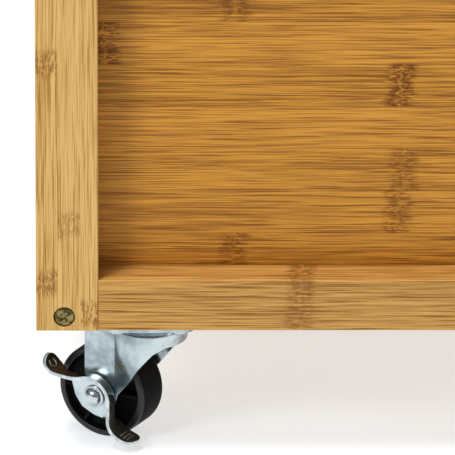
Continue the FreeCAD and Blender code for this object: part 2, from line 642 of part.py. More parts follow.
def make_fasteners():
    screws = Group("frame_screws")
    for side in SIDES.values():
        for end, y, z in SCREW_PLACES:
            face = f"{HALF_WIDTH} - screw_head_sunk"
            start, _ = mirrored(side, f"{face} - screw_long", face)
            shank = screws.rod((start, signed(end, y), z), "x", "screw_reach", "screw_long")
            start, _ = mirrored(side, f"{face} - screw_head_tall", face)
            head_at = (start, signed(end, y), z)
            head = screws.rod(head_at, "x", "screw_head_reach", "screw_head_tall")
            screws.add(shank, head)
    screws.close()

    pins = Group("shelf_pins")
    for side, end, _ in CORNERS.values():
        inner, outer = f"{POST_INNER_X} - pin_long / 2", f"{POST_INNER_X} + pin_long / 2"
        start, _ = mirrored(side, inner, outer)
        pins.add(pins.rod((start, signed(end, PIN_Y), PIN_Z), "x", "pin_reach", "pin_long"))
    pins.close()

    dowels = Group("frame_dowels")
    for side, end, _ in CORNERS.values():
        start, _ = mirrored(end, f"{POST_INNER_Y} - dowel_long / 2", f"{POST_INNER_Y} + dowel_long / 2")
        for z in (BOTTOM_DOWEL_Z, *TOP_DOWELS_Z):
            at = (signed(side, DOWEL_X), start, z)
            dowels.add(dowels.rod(at, "y", "dowel_reach", "dowel_long"))
        for middle_x, y, z in (
            (HALF_WIDTH, signed(end, BRACKET_MIDDLE_Y), BAR_Z),
            (POST_INNER_X, f"{end} * shelf_dowel_apart / 2", "caster_height + shelf_thick / 2"),
        ):
            limits = (f"{middle_x} - dowel_long / 2", f"{middle_x} + dowel_long / 2")
            at = (mirrored(side, *limits)[0], y, z)
            dowels.add(dowels.rod(at, "x", "dowel_reach", "dowel_long"))
    dowels.close()

    top_screws = Group("worktop_screws")
    for side in SIDES.values():
        for end in (-1, 1):
            x = signed(side, f"{HALF_WIDTH} - post_thick / 2")
            y = f"{end} * top_screw_apart / 2"
            seat = f"{TOP_RAIL_Z} + top_screw_sunk"
            shank = top_screws.rod((x, y, seat), "z", "wood_screw_reach", "top_screw_long")
            head_at = (x, y, f"{seat} - wood_screw_head_tall")
            reach, tall = "wood_screw_head_reach", "wood_screw_head_tall"
            top_screws.add(shank, top_screws.rod(head_at, "z", reach, tall))
    top_screws.close()


def make_caster_fixings():
    """What holds the casters on and stays still: plates, screws, kingpins and balls."""
    screws = Group("caster_screws")
    kingpins = Group("caster_kingpins")
    balls = Group("caster_bearing_balls")
    for name, (side, end, _) in CORNERS.items():
        x, y, z = swivel_point(side, end)
        caster_plate(name, (x, y, z))
        for along in (-1, 1):
            for across in (-1, 1):
                at_x = f"{x} + {along} * slot_apart_long / 2"
                at_y = f"{y} + {across} * slot_apart_wide / 2"
                face = f"{z} - plate_thick"
                shank_long = "plate_thick + caster_screw_long"
                shank = screws.rod((at_x, at_y, face), "z", "wood_screw_reach", shank_long)
                head_at = (at_x, at_y, f"{face} - wood_screw_head_tall")
                reach, tall = "wood_screw_head_reach", "wood_screw_head_tall"
                screws.add(shank, screws.rod(head_at, "z", reach, tall))
        head_top = f"{z} - crown_top - sheet_thick - clear_gap"
        low_at = (x, y, f"{head_top} - kingpin_head_tall")
        head = kingpins.rod(low_at, "z", "kingpin_head_reach", "kingpin_head_tall")
        shank_long = "crown_top + sheet_thick + clear_gap + kingpin_head_tall"
        kingpins.add(head, kingpins.rod(low_at, "z", "kingpin_reach", shank_long))
        for number in range(BALLS):
            turn = number * 360 / BALLS
            ball_x = f"{x} + ball_ring * cos({turn})"
            ball_y = f"{y} + ball_ring * sin({turn})"
            at = (ball_x, ball_y, f"{z} - ball_down")
            balls.add(balls.solid("Sphere", {"Radius": "ball_reach"}, at))
    for group in (screws, kingpins, balls):
        group.close()


def caster_plate(name, at):
    x, y, z = at
    plate = Piece(f"caster_plate_{name}", at)
    x_span = (f"{x} - plate_long / 2", f"{x} + plate_long / 2")
    y_span = (f"{y} - plate_wide / 2", f"{y} + plate_wide / 2")
    plate.block((x_span, y_span, (f"{z} - plate_thick", z)))
    thick = value("plate_thick")
    plate.round_edges("plate_corner", lambda edge: abs(length_along(edge, "z") - thick) < 0.01)
    low = f"{z} - plate_thick"
    plate.rod((x, y, low), "z", "kingpin_reach + wall_gap", "plate_thick", cut=True)
    straight = "(slot_long - slot_wide) / 2"
    for along in (-1, 1):
        for across in (-1, 1):
            mid_x = f"{x} + {along} * slot_apart_long / 2"
            mid_y = f"{y} + {across} * slot_apart_wide / 2"
            slot_x = (f"{mid_x} - {straight}", f"{mid_x} + {straight}")
            slot_y = (f"{mid_y} - slot_wide / 2", f"{mid_y} + slot_wide / 2")
            plate.block((slot_x, slot_y, (low, z)), cut=True)
            for end_x in slot_x:
                plate.rod((end_x, mid_y, low), "z", "slot_wide / 2", "plate_thick", cut=True)
    plate.ring_groove((x, y, f"{z} - ball_down"), "ball_ring", "ball_reach + wall_gap")


AXLE_Z = "wheel_reach - caster_height"
AXLE_X = "-trail_long"
# The hood's free edge, from a leg's crease up to the skirt: ahead of and above the swivel point
HOOD_EDGE = [(-8.5, -43), (-1.2, -34.2), (5.4, -25), (11.6, -17.2), (15.4, -14.2)]


def caster_piece(label, name):
    """A piece of a caster, whose own frame is the caster's, turned the way the caster points."""
    side, end, heading = CORNERS[name]
    turn = FreeCAD.Rotation(FreeCAD.Vector(0, 0, 1), heading)
    piece = Piece(f"{label}_{name}", swivel_point(side, end), turn)
    piece.corner = ORIGIN
    return piece


def make_fork(name):
    """The pressed fork: a round crown with a skirt that runs down into a hood and two legs."""
    fork = caster_piece("caster_fork", name)
    top, under = "-crown_top", "-crown_top - sheet_thick"
    inner = "crown_reach - sheet_thick"
    low = f"{AXLE_Z} - sheet_thick"
    shell = [
        ("kingpin_reach + turning_gap", top),
        ("crown_reach", top),
        ("crown_reach", low),
        (inner, low),
        (inner, under),
        ("kingpin_reach + turning_gap", under),
    ]
    fork.revolve(shell, "XZ_Plane", "V_Axis")
    rim, crown = value("2 * crown_reach"), value(top)

    def upper_rim(edge):
        return abs(length_along(edge, "x") - rim) < 0.01 and abs(edge.BoundBox.ZMax - crown) < 0.01

    fork.round_edges("crown_round", upper_rim)
    behind, ahead, below = "-2 * leg_back", "2 * crown_reach", "-2 * skirt_low - wheel_reach"
    hood_edge = [
        (behind, under),
        ("-leg_front - hood_bite", under),
        ("-leg_front - hood_bite", AXLE_Z),
        *[(str(x), str(z)) for x, z in HOOD_EDGE],
        (ahead, "-skirt_low"),
        (ahead, below),
        (behind, below),
    ]
    fork.trim(hood_edge, "XZ_Plane")
    back_x, front_x = "-leg_back", "-leg_front"
    bend = "(leg_back - leg_front) / 2"
    inner_y = "fork_outer - sheet_thick"
    for side in (-1, 1):
        leg_y = mirrored(side, inner_y, "fork_outer")
        fork.block(((back_x, front_x), leg_y, (AXLE_Z, top)))
        fork.rod((f"-leg_front - {bend}", leg_y[0], AXLE_Z), "y", bend, "sheet_thick")
        room_y = mirrored(side, "fork_outer", "2 * fork_outer")[0]
        fork.rod((AXLE_X, room_y, AXLE_Z), "y", "lever_room", "fork_outer", cut=True)
    fork.block(((back_x, "-kingpin_reach"), ("-fork_outer", "fork_outer"), (under, top)))
    hole = ("0", "0", f"{under} - sheet_thick")
    fork.rod(hole, "z", "kingpin_reach + turning_gap", "crown_top", cut=True)
    start = (AXLE_X, "-fork_outer", AXLE_Z)
    fork.rod(start, "y", "axle_reach + wall_gap", "2 * fork_outer", cut=True)
    fork.ring_groove(("0", "0", "-ball_down"), "ball_ring", "ball_reach + clear_gap")


def make_axle(name):
    """The axle bolt with its domed head on the brake side, and its nut."""
    head_at = "fork_outer"
    if name in BRAKED:
        head_at = "fork_outer + lever_thick + 2 * clear_gap"
    bolt = caster_piece("axle_bolt", name)
    tail = "fork_outer + nut_thick + bolt_tail"
    start = (AXLE_X, f"-({head_at})", AXLE_Z)
    bolt.rod(start, "y", "axle_reach", f"{head_at} + {tail}")
    face = f"-({head_at} + bolt_head_tall)"
    bolt.rod((AXLE_X, face, AXLE_Z), "y", "bolt_head_reach", "bolt_head_tall")
    outermost = value(face)
    bolt.round_edges("bolt_head_round", lambda edge: edge.BoundBox.YMax < outermost + 0.01)

    nut = caster_piece("axle_nut", name)
    prism = nut.feature("AdditivePrism")
    prism.Polygon = 6
    bind(prism, {"Circumradius": "nut_reach", "Height": "nut_thick"})
    place(prism, (AXLE_X, "fork_outer", AXLE_Z), "y")
    start = (AXLE_X, "fork_outer", AXLE_Z)
    nut.rod(start, "y", "axle_reach + wall_gap", "nut_thick", cut=True)


def make_wheel(name):
    """A moulded wheel: tread, raised rim ring, recessed web with ribs, and a wide hub."""
    wheel = caster_piece("caster_wheel", name)
    web = "wheel_wide / 2 - wheel_recess"
    bore, rim = "axle_reach + turning_gap", "wheel_reach - wheel_rim"
    half = [
        (bore, "hub_wide / 2"),
        ("hub_reach", "hub_wide / 2"),
        ("hub_reach", web),
        (rim, web),
        (rim, "wheel_wide / 2"),
        ("wheel_reach", "wheel_wide / 2"),
    ]
    far_side = [(out, f"-({across})") for out, across in reversed(half)]
    profile = [(across, out) for out, across in half + far_side]
    wheel.revolve(profile, "YZ_Plane", "H_Axis", offset=("0", AXLE_Z, AXLE_X))
    wide = value("2 * wheel_reach")
    wheel.round_edges("wheel_edge", lambda edge: length_along(edge, "z") > wide - 0.1)
    out = "(wheel_reach - wheel_rim + rib_bite)"
    for turn in RIB_TURNS:
        rib = wheel.feature("AdditiveBox")
        bind(rib, {"Length": f"2 * {out}", "Width": "rib_wide", "Height": "rib_thick"})
        rib_x = f"{AXLE_X} - {out} * cos({turn}) - rib_thick / 2 * sin({turn})"
        rib_z = f"{AXLE_Z} + {out} * sin({turn}) - rib_thick / 2 * cos({turn})"
        about_y = FreeCAD.Rotation(FreeCAD.Vector(0, 1, 0), turn)
        place(rib, (rib_x, "-rib_wide / 2", rib_z), turn=about_y)
    start = (AXLE_X, "-hub_wide / 2", AXLE_Z)
    wheel.rod(start, "y", bore, "hub_wide", cut=True)


# The lever's strip seen from the side, from the axle: straight runs (2 points) and arcs (3)
LEVER_LINE = [
    [(-27.3, 18.2), (-25.6, 13.6), (-22, 10.6)],
    [(-22, 10.6), (-18, 9.6)],
    [(-18, 9.6), (-13, 9.3), (-6.5, 10)],
    [(-6.5, 10), (6.3, 9), (10.9, 0)],
    [(10.9, 0), (10.9, -8)],
    [(10.9, -8), (13.4, -15), (19, -18.6)],
    [(19, -18.6), (23.4, -19), (27, -17)],
]


def make_brake_lever(name):
    """A pressed lever on the axle: a disc, and a strip bent over it that ends in two pedals.

    The strip is a bent line given its thickness, which no PartDesign feature does for an open
    line, so its shape is set with Part's functions, from the sheet. Distances are from the axle.
    """
    thick = value("lever_thick")

    def at(x, z):
        return FreeCAD.Vector(x, 0, z)

    whole = []
    for run in LEVER_LINE:
        ends = [at(x, z) for x, z in run]
        bend = Part.LineSegment(*ends) if len(run) == 2 else Part.Arc(*ends)
        whole.append(bend.toShape())
    rear_pedal, front_pedal = whole[0], whole[-1]

    def strip(edges, inner, outer):
        ring = Part.Wire(edges).makeOffset2D(thick / 2, 0, False, False, False)
        face = Part.Face(ring)
        face.translate(FreeCAD.Vector(0, -value(outer), 0))
        return face.extrude(FreeCAD.Vector(0, value(f"{outer} - ({inner})"), 0))

    disc_face = value("fork_outer + clear_gap")
    across = FreeCAD.Vector(0, -1, 0)
    disc = Part.makeCylinder(value("lever_disc_reach"), thick, at(0, 0) + across * disc_face, across)
    solid = disc.fuse(
        [
            strip(whole, "fork_outer + clear_gap", "strip_outer"),
            strip([rear_pedal], "pedal_inner", "pedal_outer"),
            strip([front_pedal], "pedal_inner", "pedal_outer"),
        ]
    ).removeSplitter()
    bore = value("axle_reach + turning_gap")
    solid = solid.cut(Part.makeCylinder(bore, value("4 * fork_outer"), at(0, 0), across))
    side, end, heading = CORNERS[name]
    lever = doc.addObject("Part::Feature", f"brake_lever_{name}")
    lever.Label = f"brake_lever_{name}"
    to_axle = FreeCAD.Placement(at(value(AXLE_X), value(AXLE_Z)), FreeCAD.Rotation())
    swivel = FreeCAD.Vector(*[value(formula) for formula in swivel_point(side, end)])
    turn = FreeCAD.Rotation(FreeCAD.Vector(0, 0, 1), heading)
    lever.Shape = solid
    lever.Placement = FreeCAD.Placement(swivel, turn).multiply(to_axle)
    parts.append(lever)


def check_model():
    """Stops if anything failed to recompute or a sub-part has no sound shape."""
    doc.recompute()
    failed = [o.Label for o in doc.Objects if {"Invalid", "Error"} & set(o.State)]
    if failed:
        raise RuntimeError(f"these objects failed: {failed}")
    for part in parts:
        if part.Shape.isNull() or not part.Shape.isValid():
            raise RuntimeError(f"{part.Label} has no sound shape")


def write_steps():
    os.makedirs("parts", exist_ok=True)
    for part in parts:
        part.Shape.exportStep(f"parts/{part.Label}.step")


fill_sheet()
make_posts()
make_side_frames()
make_shelves_and_back()
make_front_rails_and_runners()
make_worktop()
make_side_bars()
make_drawer()
make_fasteners()
make_caster_fixings()
for corner_name in CORNERS:
    make_fork(corner_name)
    make_axle(corner_name)
    make_wheel(corner_name)
for corner_name in BRAKED:
    make_brake_lever(corner_name)
check_model()
write_steps()
print(f"{len(parts)} sub-parts written")
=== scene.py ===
"""Looks of the bamboo rolling utility cart: studio, wood, zinc casters, wheels and brake levers.

Metres. +Z is up and the front is towards -Y, as in the frame. A caster's pieces are made once, in
millimetres, in a frame of their own (t the way that the caster leads, n to its left, z up), and
are put in place by the frame's joints. The braked side is -n.
"""

import json
import math
import random

import bmesh
import bpy
from mathutils import Matrix, Vector
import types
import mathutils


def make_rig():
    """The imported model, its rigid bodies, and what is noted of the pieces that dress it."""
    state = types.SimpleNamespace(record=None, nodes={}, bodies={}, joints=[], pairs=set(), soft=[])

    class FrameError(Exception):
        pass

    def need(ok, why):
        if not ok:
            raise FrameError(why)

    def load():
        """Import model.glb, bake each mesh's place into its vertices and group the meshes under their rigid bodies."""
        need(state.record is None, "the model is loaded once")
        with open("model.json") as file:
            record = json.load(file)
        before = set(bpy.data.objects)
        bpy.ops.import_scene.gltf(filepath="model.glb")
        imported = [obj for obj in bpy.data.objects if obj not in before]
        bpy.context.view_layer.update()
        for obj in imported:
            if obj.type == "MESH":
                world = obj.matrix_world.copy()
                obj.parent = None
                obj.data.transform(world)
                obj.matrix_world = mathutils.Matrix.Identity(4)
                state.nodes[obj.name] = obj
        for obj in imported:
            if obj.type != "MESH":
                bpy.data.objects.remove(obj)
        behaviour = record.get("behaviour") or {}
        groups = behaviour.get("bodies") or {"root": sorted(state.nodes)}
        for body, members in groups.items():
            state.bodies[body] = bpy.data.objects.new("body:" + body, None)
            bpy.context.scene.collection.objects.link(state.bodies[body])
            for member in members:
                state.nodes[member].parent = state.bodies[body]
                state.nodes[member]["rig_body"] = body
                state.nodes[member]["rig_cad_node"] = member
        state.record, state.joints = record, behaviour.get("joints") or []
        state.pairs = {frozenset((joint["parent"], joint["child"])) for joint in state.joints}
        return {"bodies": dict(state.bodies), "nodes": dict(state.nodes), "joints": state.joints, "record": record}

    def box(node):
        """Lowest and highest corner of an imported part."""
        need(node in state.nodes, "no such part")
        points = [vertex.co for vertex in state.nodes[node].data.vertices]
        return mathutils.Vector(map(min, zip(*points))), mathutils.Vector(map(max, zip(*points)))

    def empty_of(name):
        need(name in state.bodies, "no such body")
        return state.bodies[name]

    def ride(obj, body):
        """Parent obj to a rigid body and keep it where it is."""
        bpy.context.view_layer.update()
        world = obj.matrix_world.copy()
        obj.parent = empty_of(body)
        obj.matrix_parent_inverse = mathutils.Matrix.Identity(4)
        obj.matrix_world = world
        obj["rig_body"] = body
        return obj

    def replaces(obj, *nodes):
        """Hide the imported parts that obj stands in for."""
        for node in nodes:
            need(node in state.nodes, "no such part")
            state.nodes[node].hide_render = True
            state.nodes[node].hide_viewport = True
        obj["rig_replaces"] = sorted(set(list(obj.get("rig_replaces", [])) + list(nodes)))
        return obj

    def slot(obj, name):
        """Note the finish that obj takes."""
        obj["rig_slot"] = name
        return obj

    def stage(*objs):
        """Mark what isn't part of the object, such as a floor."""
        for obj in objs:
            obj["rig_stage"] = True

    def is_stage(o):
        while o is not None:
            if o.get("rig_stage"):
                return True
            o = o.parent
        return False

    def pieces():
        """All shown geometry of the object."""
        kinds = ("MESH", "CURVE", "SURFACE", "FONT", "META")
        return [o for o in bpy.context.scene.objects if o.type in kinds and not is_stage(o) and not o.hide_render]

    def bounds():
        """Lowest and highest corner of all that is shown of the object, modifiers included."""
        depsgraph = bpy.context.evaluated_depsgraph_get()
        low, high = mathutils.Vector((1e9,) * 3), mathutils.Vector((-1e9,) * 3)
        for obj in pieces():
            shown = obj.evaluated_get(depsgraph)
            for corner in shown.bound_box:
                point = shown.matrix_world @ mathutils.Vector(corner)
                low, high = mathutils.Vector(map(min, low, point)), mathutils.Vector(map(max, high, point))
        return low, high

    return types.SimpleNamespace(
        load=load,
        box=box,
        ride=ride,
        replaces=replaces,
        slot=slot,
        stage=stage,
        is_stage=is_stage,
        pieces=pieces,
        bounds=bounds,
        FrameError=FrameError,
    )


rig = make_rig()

MM = 0.001
CORNERS = ("front_right", "front_left", "rear_right", "rear_left")
BRAKED = ("front_right", "front_left")

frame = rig.load()
cad_low, cad_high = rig.bounds()
nodes = frame["nodes"]
joints = {joint["name"]: joint for joint in frame["joints"]}


# Camera and studio

VIEW_PITCH = math.radians(23.2)
VIEW_DISTANCE = 9.0
VIEW_WIDTH = 0.2325
SENSOR = 36.0
# What the picture's middle shows: a point on the right side, back from and above the front corner
MIDDLE_BACK = 0.0981
MIDDLE_UP = 0.0575


def make_camera():
    """A long lens on the cart's right side, looking down at the foot of the front post."""
    post_low, post_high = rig.box("post_front_right")
    aim = Vector((post_high.x, post_low.y + MIDDLE_BACK, post_low.z + MIDDLE_UP))
    back = Vector((math.cos(VIEW_PITCH), 0, math.sin(VIEW_PITCH)))
    lens = bpy.data.cameras.new("camera")
    lens.sensor_width = SENSOR
    lens.lens = SENSOR * VIEW_DISTANCE / VIEW_WIDTH
    lens.clip_start = 0.05
    lens.clip_end = 60
    camera = bpy.data.objects.new("camera", lens)
    camera.location = aim + back * VIEW_DISTANCE
    camera.rotation_euler = back.to_track_quat("Z", "Y").to_euler()
    bpy.context.scene.collection.objects.link(camera)
    bpy.context.scene.camera = camera


def soft_box(name, at, aim, size, watts, tint=(1, 1, 1)):
    light = bpy.data.lights.new(name, "AREA")
    light.shape = "SQUARE"
    light.size = size
    light.energy = watts
    light.color = tint
    lamp = bpy.data.objects.new(name, light)
    lamp.location = at
    lamp.rotation_euler = (Vector(at) - Vector(aim)).to_track_quat("Z", "Y").to_euler()
    bpy.context.scene.collection.objects.link(lamp)


def make_surround():
    """A pale room: light overhead, and greyer towards the horizon."""
    world = bpy.data.worlds.new("surround")
    world.use_nodes = True
    tree = world.node_tree
    where = tree.nodes.new("ShaderNodeTexCoord")
    split = tree.nodes.new("ShaderNodeSeparateXYZ")
    ramp = tree.nodes.new("ShaderNodeValToRGB")
    for number, (height, grey) in enumerate(((0.0, 0.06), (0.35, 0.26), (0.8, 0.7))):
        stop = ramp.color_ramp.elements[0] if number == 0 else ramp.color_ramp.elements.new(height)
        stop.position = height
        stop.color = (grey * 0.96, grey * 0.98, grey, 1)
    ramp.color_ramp.elements.remove(ramp.color_ramp.elements[-1])
    tree.links.new(where.outputs["Generated"], split.inputs[0])
    tree.links.new(split.outputs["Z"], ramp.inputs["Fac"])
    tree.links.new(ramp.outputs["Color"], tree.nodes["Background"].inputs["Color"])
    tree.nodes["Background"].inputs["Strength"].default_value = 0.42
    return world


def make_studio():
    """A pale floor that glows a little, a pale surround, a key, an overhead light and two fills."""
    scene = bpy.context.scene
    scene.view_settings.view_transform = "Standard"
    scene.world = make_surround()

    reach = 12
    mesh = bpy.data.meshes.new("floor")
    corners = [(-reach, -reach, 0), (reach, -reach, 0), (reach, reach, 0), (-reach, reach, 0)]
    mesh.from_pydata(corners, [], [(0, 1, 2, 3)])
    floor = bpy.data.objects.new("floor", mesh)
    scene.collection.objects.link(floor)
    paper = Graph("floor_paper")
    paper.surface(
        base=(0.44, 0.485, 0.52),
        roughness=0.9,
        specular=0.0,
        glow=(0.98, 0.99, 1),
        glow_strength=0.65,
    )
    mesh.materials.append(paper.material)
    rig.stage(floor)

    low, high = cad_low, cad_high
    aim = (high.x * 0.8, low.y * 0.5, 0.2)
    soft_box("key", (2.1, -2.1, 1.9), aim, 0.9, 42, (1, 0.985, 0.96))
    soft_box("overhead", (1.1, -1.3, 4.9), aim, 1.7, 196, (1, 0.99, 0.97))
    soft_box("fill_right", (1.5, 2.6, 1.0), aim, 0.7, 8, (0.95, 0.98, 1))
    soft_box("fill_back", (-2.6, 1.2, 2.2), (0, 0, 0.5), 2.2, 26)


# Materials


class Graph:
    """A material written as formulas: numbers and sockets go in and a socket comes out."""

    def __init__(self, name):
        self.material = bpy.data.materials.new(name)
        self.material.use_nodes = True
        self.tree = self.material.node_tree
        self.shader = self.tree.nodes["Principled BSDF"]

    def node(self, kind, **settings):
        made = self.tree.nodes.new(kind)
        for name, setting in settings.items():
            setattr(made, name, setting)
        return made

    def feed(self, socket, given):
        if isinstance(given, bpy.types.NodeSocket):
            self.tree.links.new(given, socket)
        else:
            socket.default_value = given

    def math(self, operation, *given, clamp=False):
        made = self.node("ShaderNodeMath", operation=operation, use_clamp=clamp)
        for socket, item in zip(made.inputs, given):
            self.feed(socket, item)
        return made.outputs[0]

    def add(self, *given):
        total = given[0]
        for item in given[1:]:
            total = self.math("ADD", total, item)
        return total

    def times(self, a, b):
        return self.math("MULTIPLY", a, b)

    def minus(self, a, b):
        return self.math("SUBTRACT", a, b)

    def step(self, item, low, high, to_low=0.0, to_high=1.0):
        """Smoothly from to_low, at low and under it, to to_high, at high and over it."""
        made = self.node("ShaderNodeMapRange", interpolation_type="SMOOTHSTEP")
        for name, given in zip(
            ("Value", "From Min", "From Max", "To Min", "To Max"),
            (item, low, high, to_low, to_high),
        ):
            self.feed(made.inputs[name], given)
        return made.outputs[0]

    def place(self):
        """X, Y and Z of the point, in the object's own frame."""
        where = self.node("ShaderNodeTexCoord").outputs["Object"]
        split = self.node("ShaderNodeSeparateXYZ")
        self.feed(split.inputs[0], where)
        return list(split.outputs)

    def vector(self, x, y, z):
        made = self.node("ShaderNodeCombineXYZ")
        for socket, item in zip(made.inputs, (x, y, z)):
            self.feed(socket, item)
        return made.outputs[0]

    def noise(self, where, scale=1.0, detail=2.0, roughness=0.5, twist=0.0):
        made = self.node("ShaderNodeTexNoise")
        self.feed(made.inputs["Vector"], where)
        self.feed(made.inputs["Scale"], scale)
        self.feed(made.inputs["Detail"], detail)
        self.feed(made.inputs["Roughness"], roughness)
        self.feed(made.inputs["Distortion"], twist)
        return made.outputs["Fac"]

    def chance(self, number):
        """A random value from 0 to 1 that belongs to a whole number."""
        made = self.node("ShaderNodeTexWhiteNoise", noise_dimensions="1D")
        self.feed(made.inputs["W"], number)
        return made.outputs["Value"]

    def mix(self, share, a, b, blend="MIX"):
        made = self.node("ShaderNodeMix", data_type="RGBA", blend_type=blend)
        colours = [socket for socket in made.inputs if socket.type == "RGBA"]
        self.feed(made.inputs["Factor"], share)
        for socket, colour in zip(colours, (a, b)):
            self.feed(socket, colour if isinstance(colour, bpy.types.NodeSocket) else (*colour, 1))
        return [socket for socket in made.outputs if socket.type == "RGBA"][0]

    def ladder(self, item, values):
        """The value that stands at item's place in a list, where item runs from 0 to 1."""
        made = self.node("ShaderNodeValToRGB")
        ramp = made.color_ramp
        ramp.interpolation = "CONSTANT"
        while len(ramp.elements) > 1:
            ramp.elements.remove(ramp.elements[-1])
        for number, grey in enumerate(values):
            stop = ramp.elements[0] if number == 0 else ramp.elements.new(number / len(values))
            stop.position = number / len(values)
            stop.color = (grey, grey, grey, 1)
        self.feed(made.inputs["Fac"], item)
        return made.outputs["Color"]

    def bump(self, height, distance, strength=1.0):
        made = self.node("ShaderNodeBump")
        self.feed(made.inputs["Height"], height)
        made.inputs["Distance"].default_value = distance
        made.inputs["Strength"].default_value = strength
        return made.outputs["Normal"]

    def surface(self, base, roughness, specular=0.5, metal=0.0, normal=None, coat=0.0,
                glow=None, glow_strength=0.0):
        inputs = self.shader.inputs
        wide = isinstance(base, bpy.types.NodeSocket)
        self.feed(inputs["Base Color"], base if wide else (*base, 1))
        self.feed(inputs["Roughness"], roughness)
        inputs["Specular IOR Level"].default_value = specular
        inputs["Metallic"].default_value = metal
        inputs["Coat Weight"].default_value = coat
        inputs["Coat Roughness"].default_value = 0.25
        if normal is not None:
            self.feed(inputs["Normal"], normal)
        if glow is not None:
            inputs["Emission Color"].default_value = (*glow, 1)
            inputs["Emission Strength"].default_value = glow_strength
        return self.material


def linear(red, green, blue):
    """A display colour, 0 to 255, as the linear colour that a shader takes."""

    def channel(value):
        value /= 255
        return value / 12.92 if value <= 0.04045 else ((value + 0.055) / 1.055) ** 2.4

    return (channel(red), channel(green), channel(blue))


class Bamboo:
    """How one kind of board is laid up and coloured. Lengths in metres, colours as displayed."""

    def __init__(self, grain, across, pale, deep, strip=0.0234, first=0.0, spacing=0.31,
                 knuckle=1.0, contrast=1.0, knuckles=None, gaps=None, seed=0.0, tone=0.16):
        self.grain = "XYZ".index(grain)
        self.across = "XYZ".index(across)
        self.third = 3 - self.grain - self.across
        self.pale = linear(*pale)
        self.deep = linear(*deep)
        self.strip = strip
        self.first = first
        self.spacing = spacing
        self.knuckle = knuckle
        self.contrast = contrast
        self.knuckles = knuckles
        self.gaps = gaps
        self.seed = seed
        self.tone = tone


LAYER = 0.021


def bamboo(name, kind):
    """Edge-glued strips, each with its own tone, fine fibres and the knuckles of the cane."""
    g = Graph(name)
    place = g.place()
    along, across, deep = place[kind.grain], place[kind.across], place[kind.third]
    strips = g.math("DIVIDE", g.minus(across, kind.first), kind.strip)
    number = g.math("FLOOR", strips)
    layer = g.math("FLOOR", g.math("DIVIDE", g.add(deep, 0.5), LAYER))
    own = g.add(number, g.times(layer, 37.0), kind.seed)
    tone = g.chance(own)

    # Each strip's fibres start from a place of their own, and wander a little
    shift = g.times(tone, 3.0)
    drift = g.noise(g.vector(g.times(along, 9.0), g.times(across, 25.0), g.add(deep, shift)))
    wander = g.times(g.minus(drift, 0.5), 0.0014)
    side = g.add(across, wander)

    def fibres(length, width, detail=2.0, rough=0.55):
        where = g.vector(
            g.add(g.math("DIVIDE", along, length), shift),
            g.math("DIVIDE", side, width),
            g.math("DIVIDE", deep, width),
        )
        return g.noise(where, 1.0, detail, rough)

    broad = fibres(0.16, 0.0075)
    streaks = fibres(0.07, 0.0013, 3.0)
    fine = fibres(0.03, 0.00048, 2.0)
    threads = g.step(fibres(0.05, 0.0008, 1.5), 0.53, 0.63)

    # Knuckles: a short dark band across the strip, ragged, with tails along the fibres
    spacing = kind.spacing
    if kind.knuckles:
        rung = g.math("DIVIDE", g.add(number, 0.5), float(len(kind.knuckles)))
        centre = g.minus(g.ladder(rung, [0.5 + place for place in kind.knuckles]), 0.5)
    else:
        centre = g.times(g.chance(g.add(own, 5.5)), spacing)
    if kind.gaps:
        spacing = g.ladder(rung, kind.gaps)
    ragged = g.noise(g.vector(g.times(across, 900.0), shift, g.times(deep, 400.0)), 1.0, 1.0)
    bend = g.noise(g.vector(g.times(across, 160.0), shift, 0.0), 1.0, 1.0)
    offset = g.add(g.times(g.minus(ragged, 0.5), 0.006), g.times(g.minus(bend, 0.5), 0.009))
    beside = g.add(g.minus(along, centre), offset)
    half = g.times(spacing, 0.5)
    far = g.math("ABSOLUTE", g.minus(g.math("FLOORED_MODULO", g.add(beside, half), spacing), half))
    weight = g.step(g.chance(g.add(own, 9.5)), 0.0, 1.0, 0.55, 1.0)
    band = g.times(g.step(far, 0.0035, 0.0095, 1.0, 0.0), weight)
    tails = g.times(g.step(far, 0.006, 0.034, 1.0, 0.0), g.step(streaks, 0.42, 0.68))
    dashes = g.noise(
        g.vector(g.times(along, 210.0), g.times(across, 980.0), g.times(deep, 980.0)),
        detail=2.0,
        twist=1.1,
    )
    stubble = g.times(band, g.step(dashes, 0.47, 0.55))
    seam = g.times(g.step(far, 0.0002, 0.0008, 1.0, 0.0), weight)
    glints = g.math("MAXIMUM", g.times(band, g.step(dashes, 0.43, 0.37)), g.times(seam, 0.6))

    depth = g.add(
        g.times(g.minus(broad, 0.5), 0.8 * kind.contrast),
        g.times(g.minus(streaks, 0.5), 1.15 * kind.contrast),
        g.times(g.minus(fine, 0.5), 1.7 * kind.contrast),
        g.times(threads, 0.5 * kind.contrast),
        g.times(g.minus(tone, 0.5), 2 * kind.tone),
        g.times(tails, 0.38 * kind.knuckle),
        g.times(band, 0.42 * kind.knuckle),
        0.28,
    )
    wood = g.mix(g.math("MAXIMUM", g.math("MINIMUM", depth, 1.25), -0.2), kind.pale, kind.deep)
    wood = g.mix(g.times(g.chance(g.add(own, 2.5)), 0.12), wood, linear(196, 122, 62))
    burnt = tuple(c * f for c, f in zip(kind.deep, (0.62, 0.42, 0.4)))
    wood = g.mix(g.times(stubble, 0.85 * kind.knuckle), wood, burnt)
    wood = g.mix(g.times(glints, 0.62 * kind.knuckle), wood, tuple(c * 1.12 for c in kind.pale))
    # The glue line between two strips
    beside_joint = g.math("ABSOLUTE", g.minus(g.math("FRACT", strips), 0.5))
    joint = g.step(beside_joint, 0.486, 0.499)
    wood = g.mix(g.times(joint, 0.35), wood, tuple(c * 0.45 for c in kind.deep))

    height = g.add(
        g.times(fine, 0.5),
        g.times(streaks, 0.5),
        g.times(joint, -0.8),
        g.times(stubble, -0.5),
    )
    rough = g.add(0.42, g.times(broad, 0.16), g.times(stubble, 0.15))
    return g.surface(wood, rough, specular=0.2, normal=g.bump(height, 0.00006))


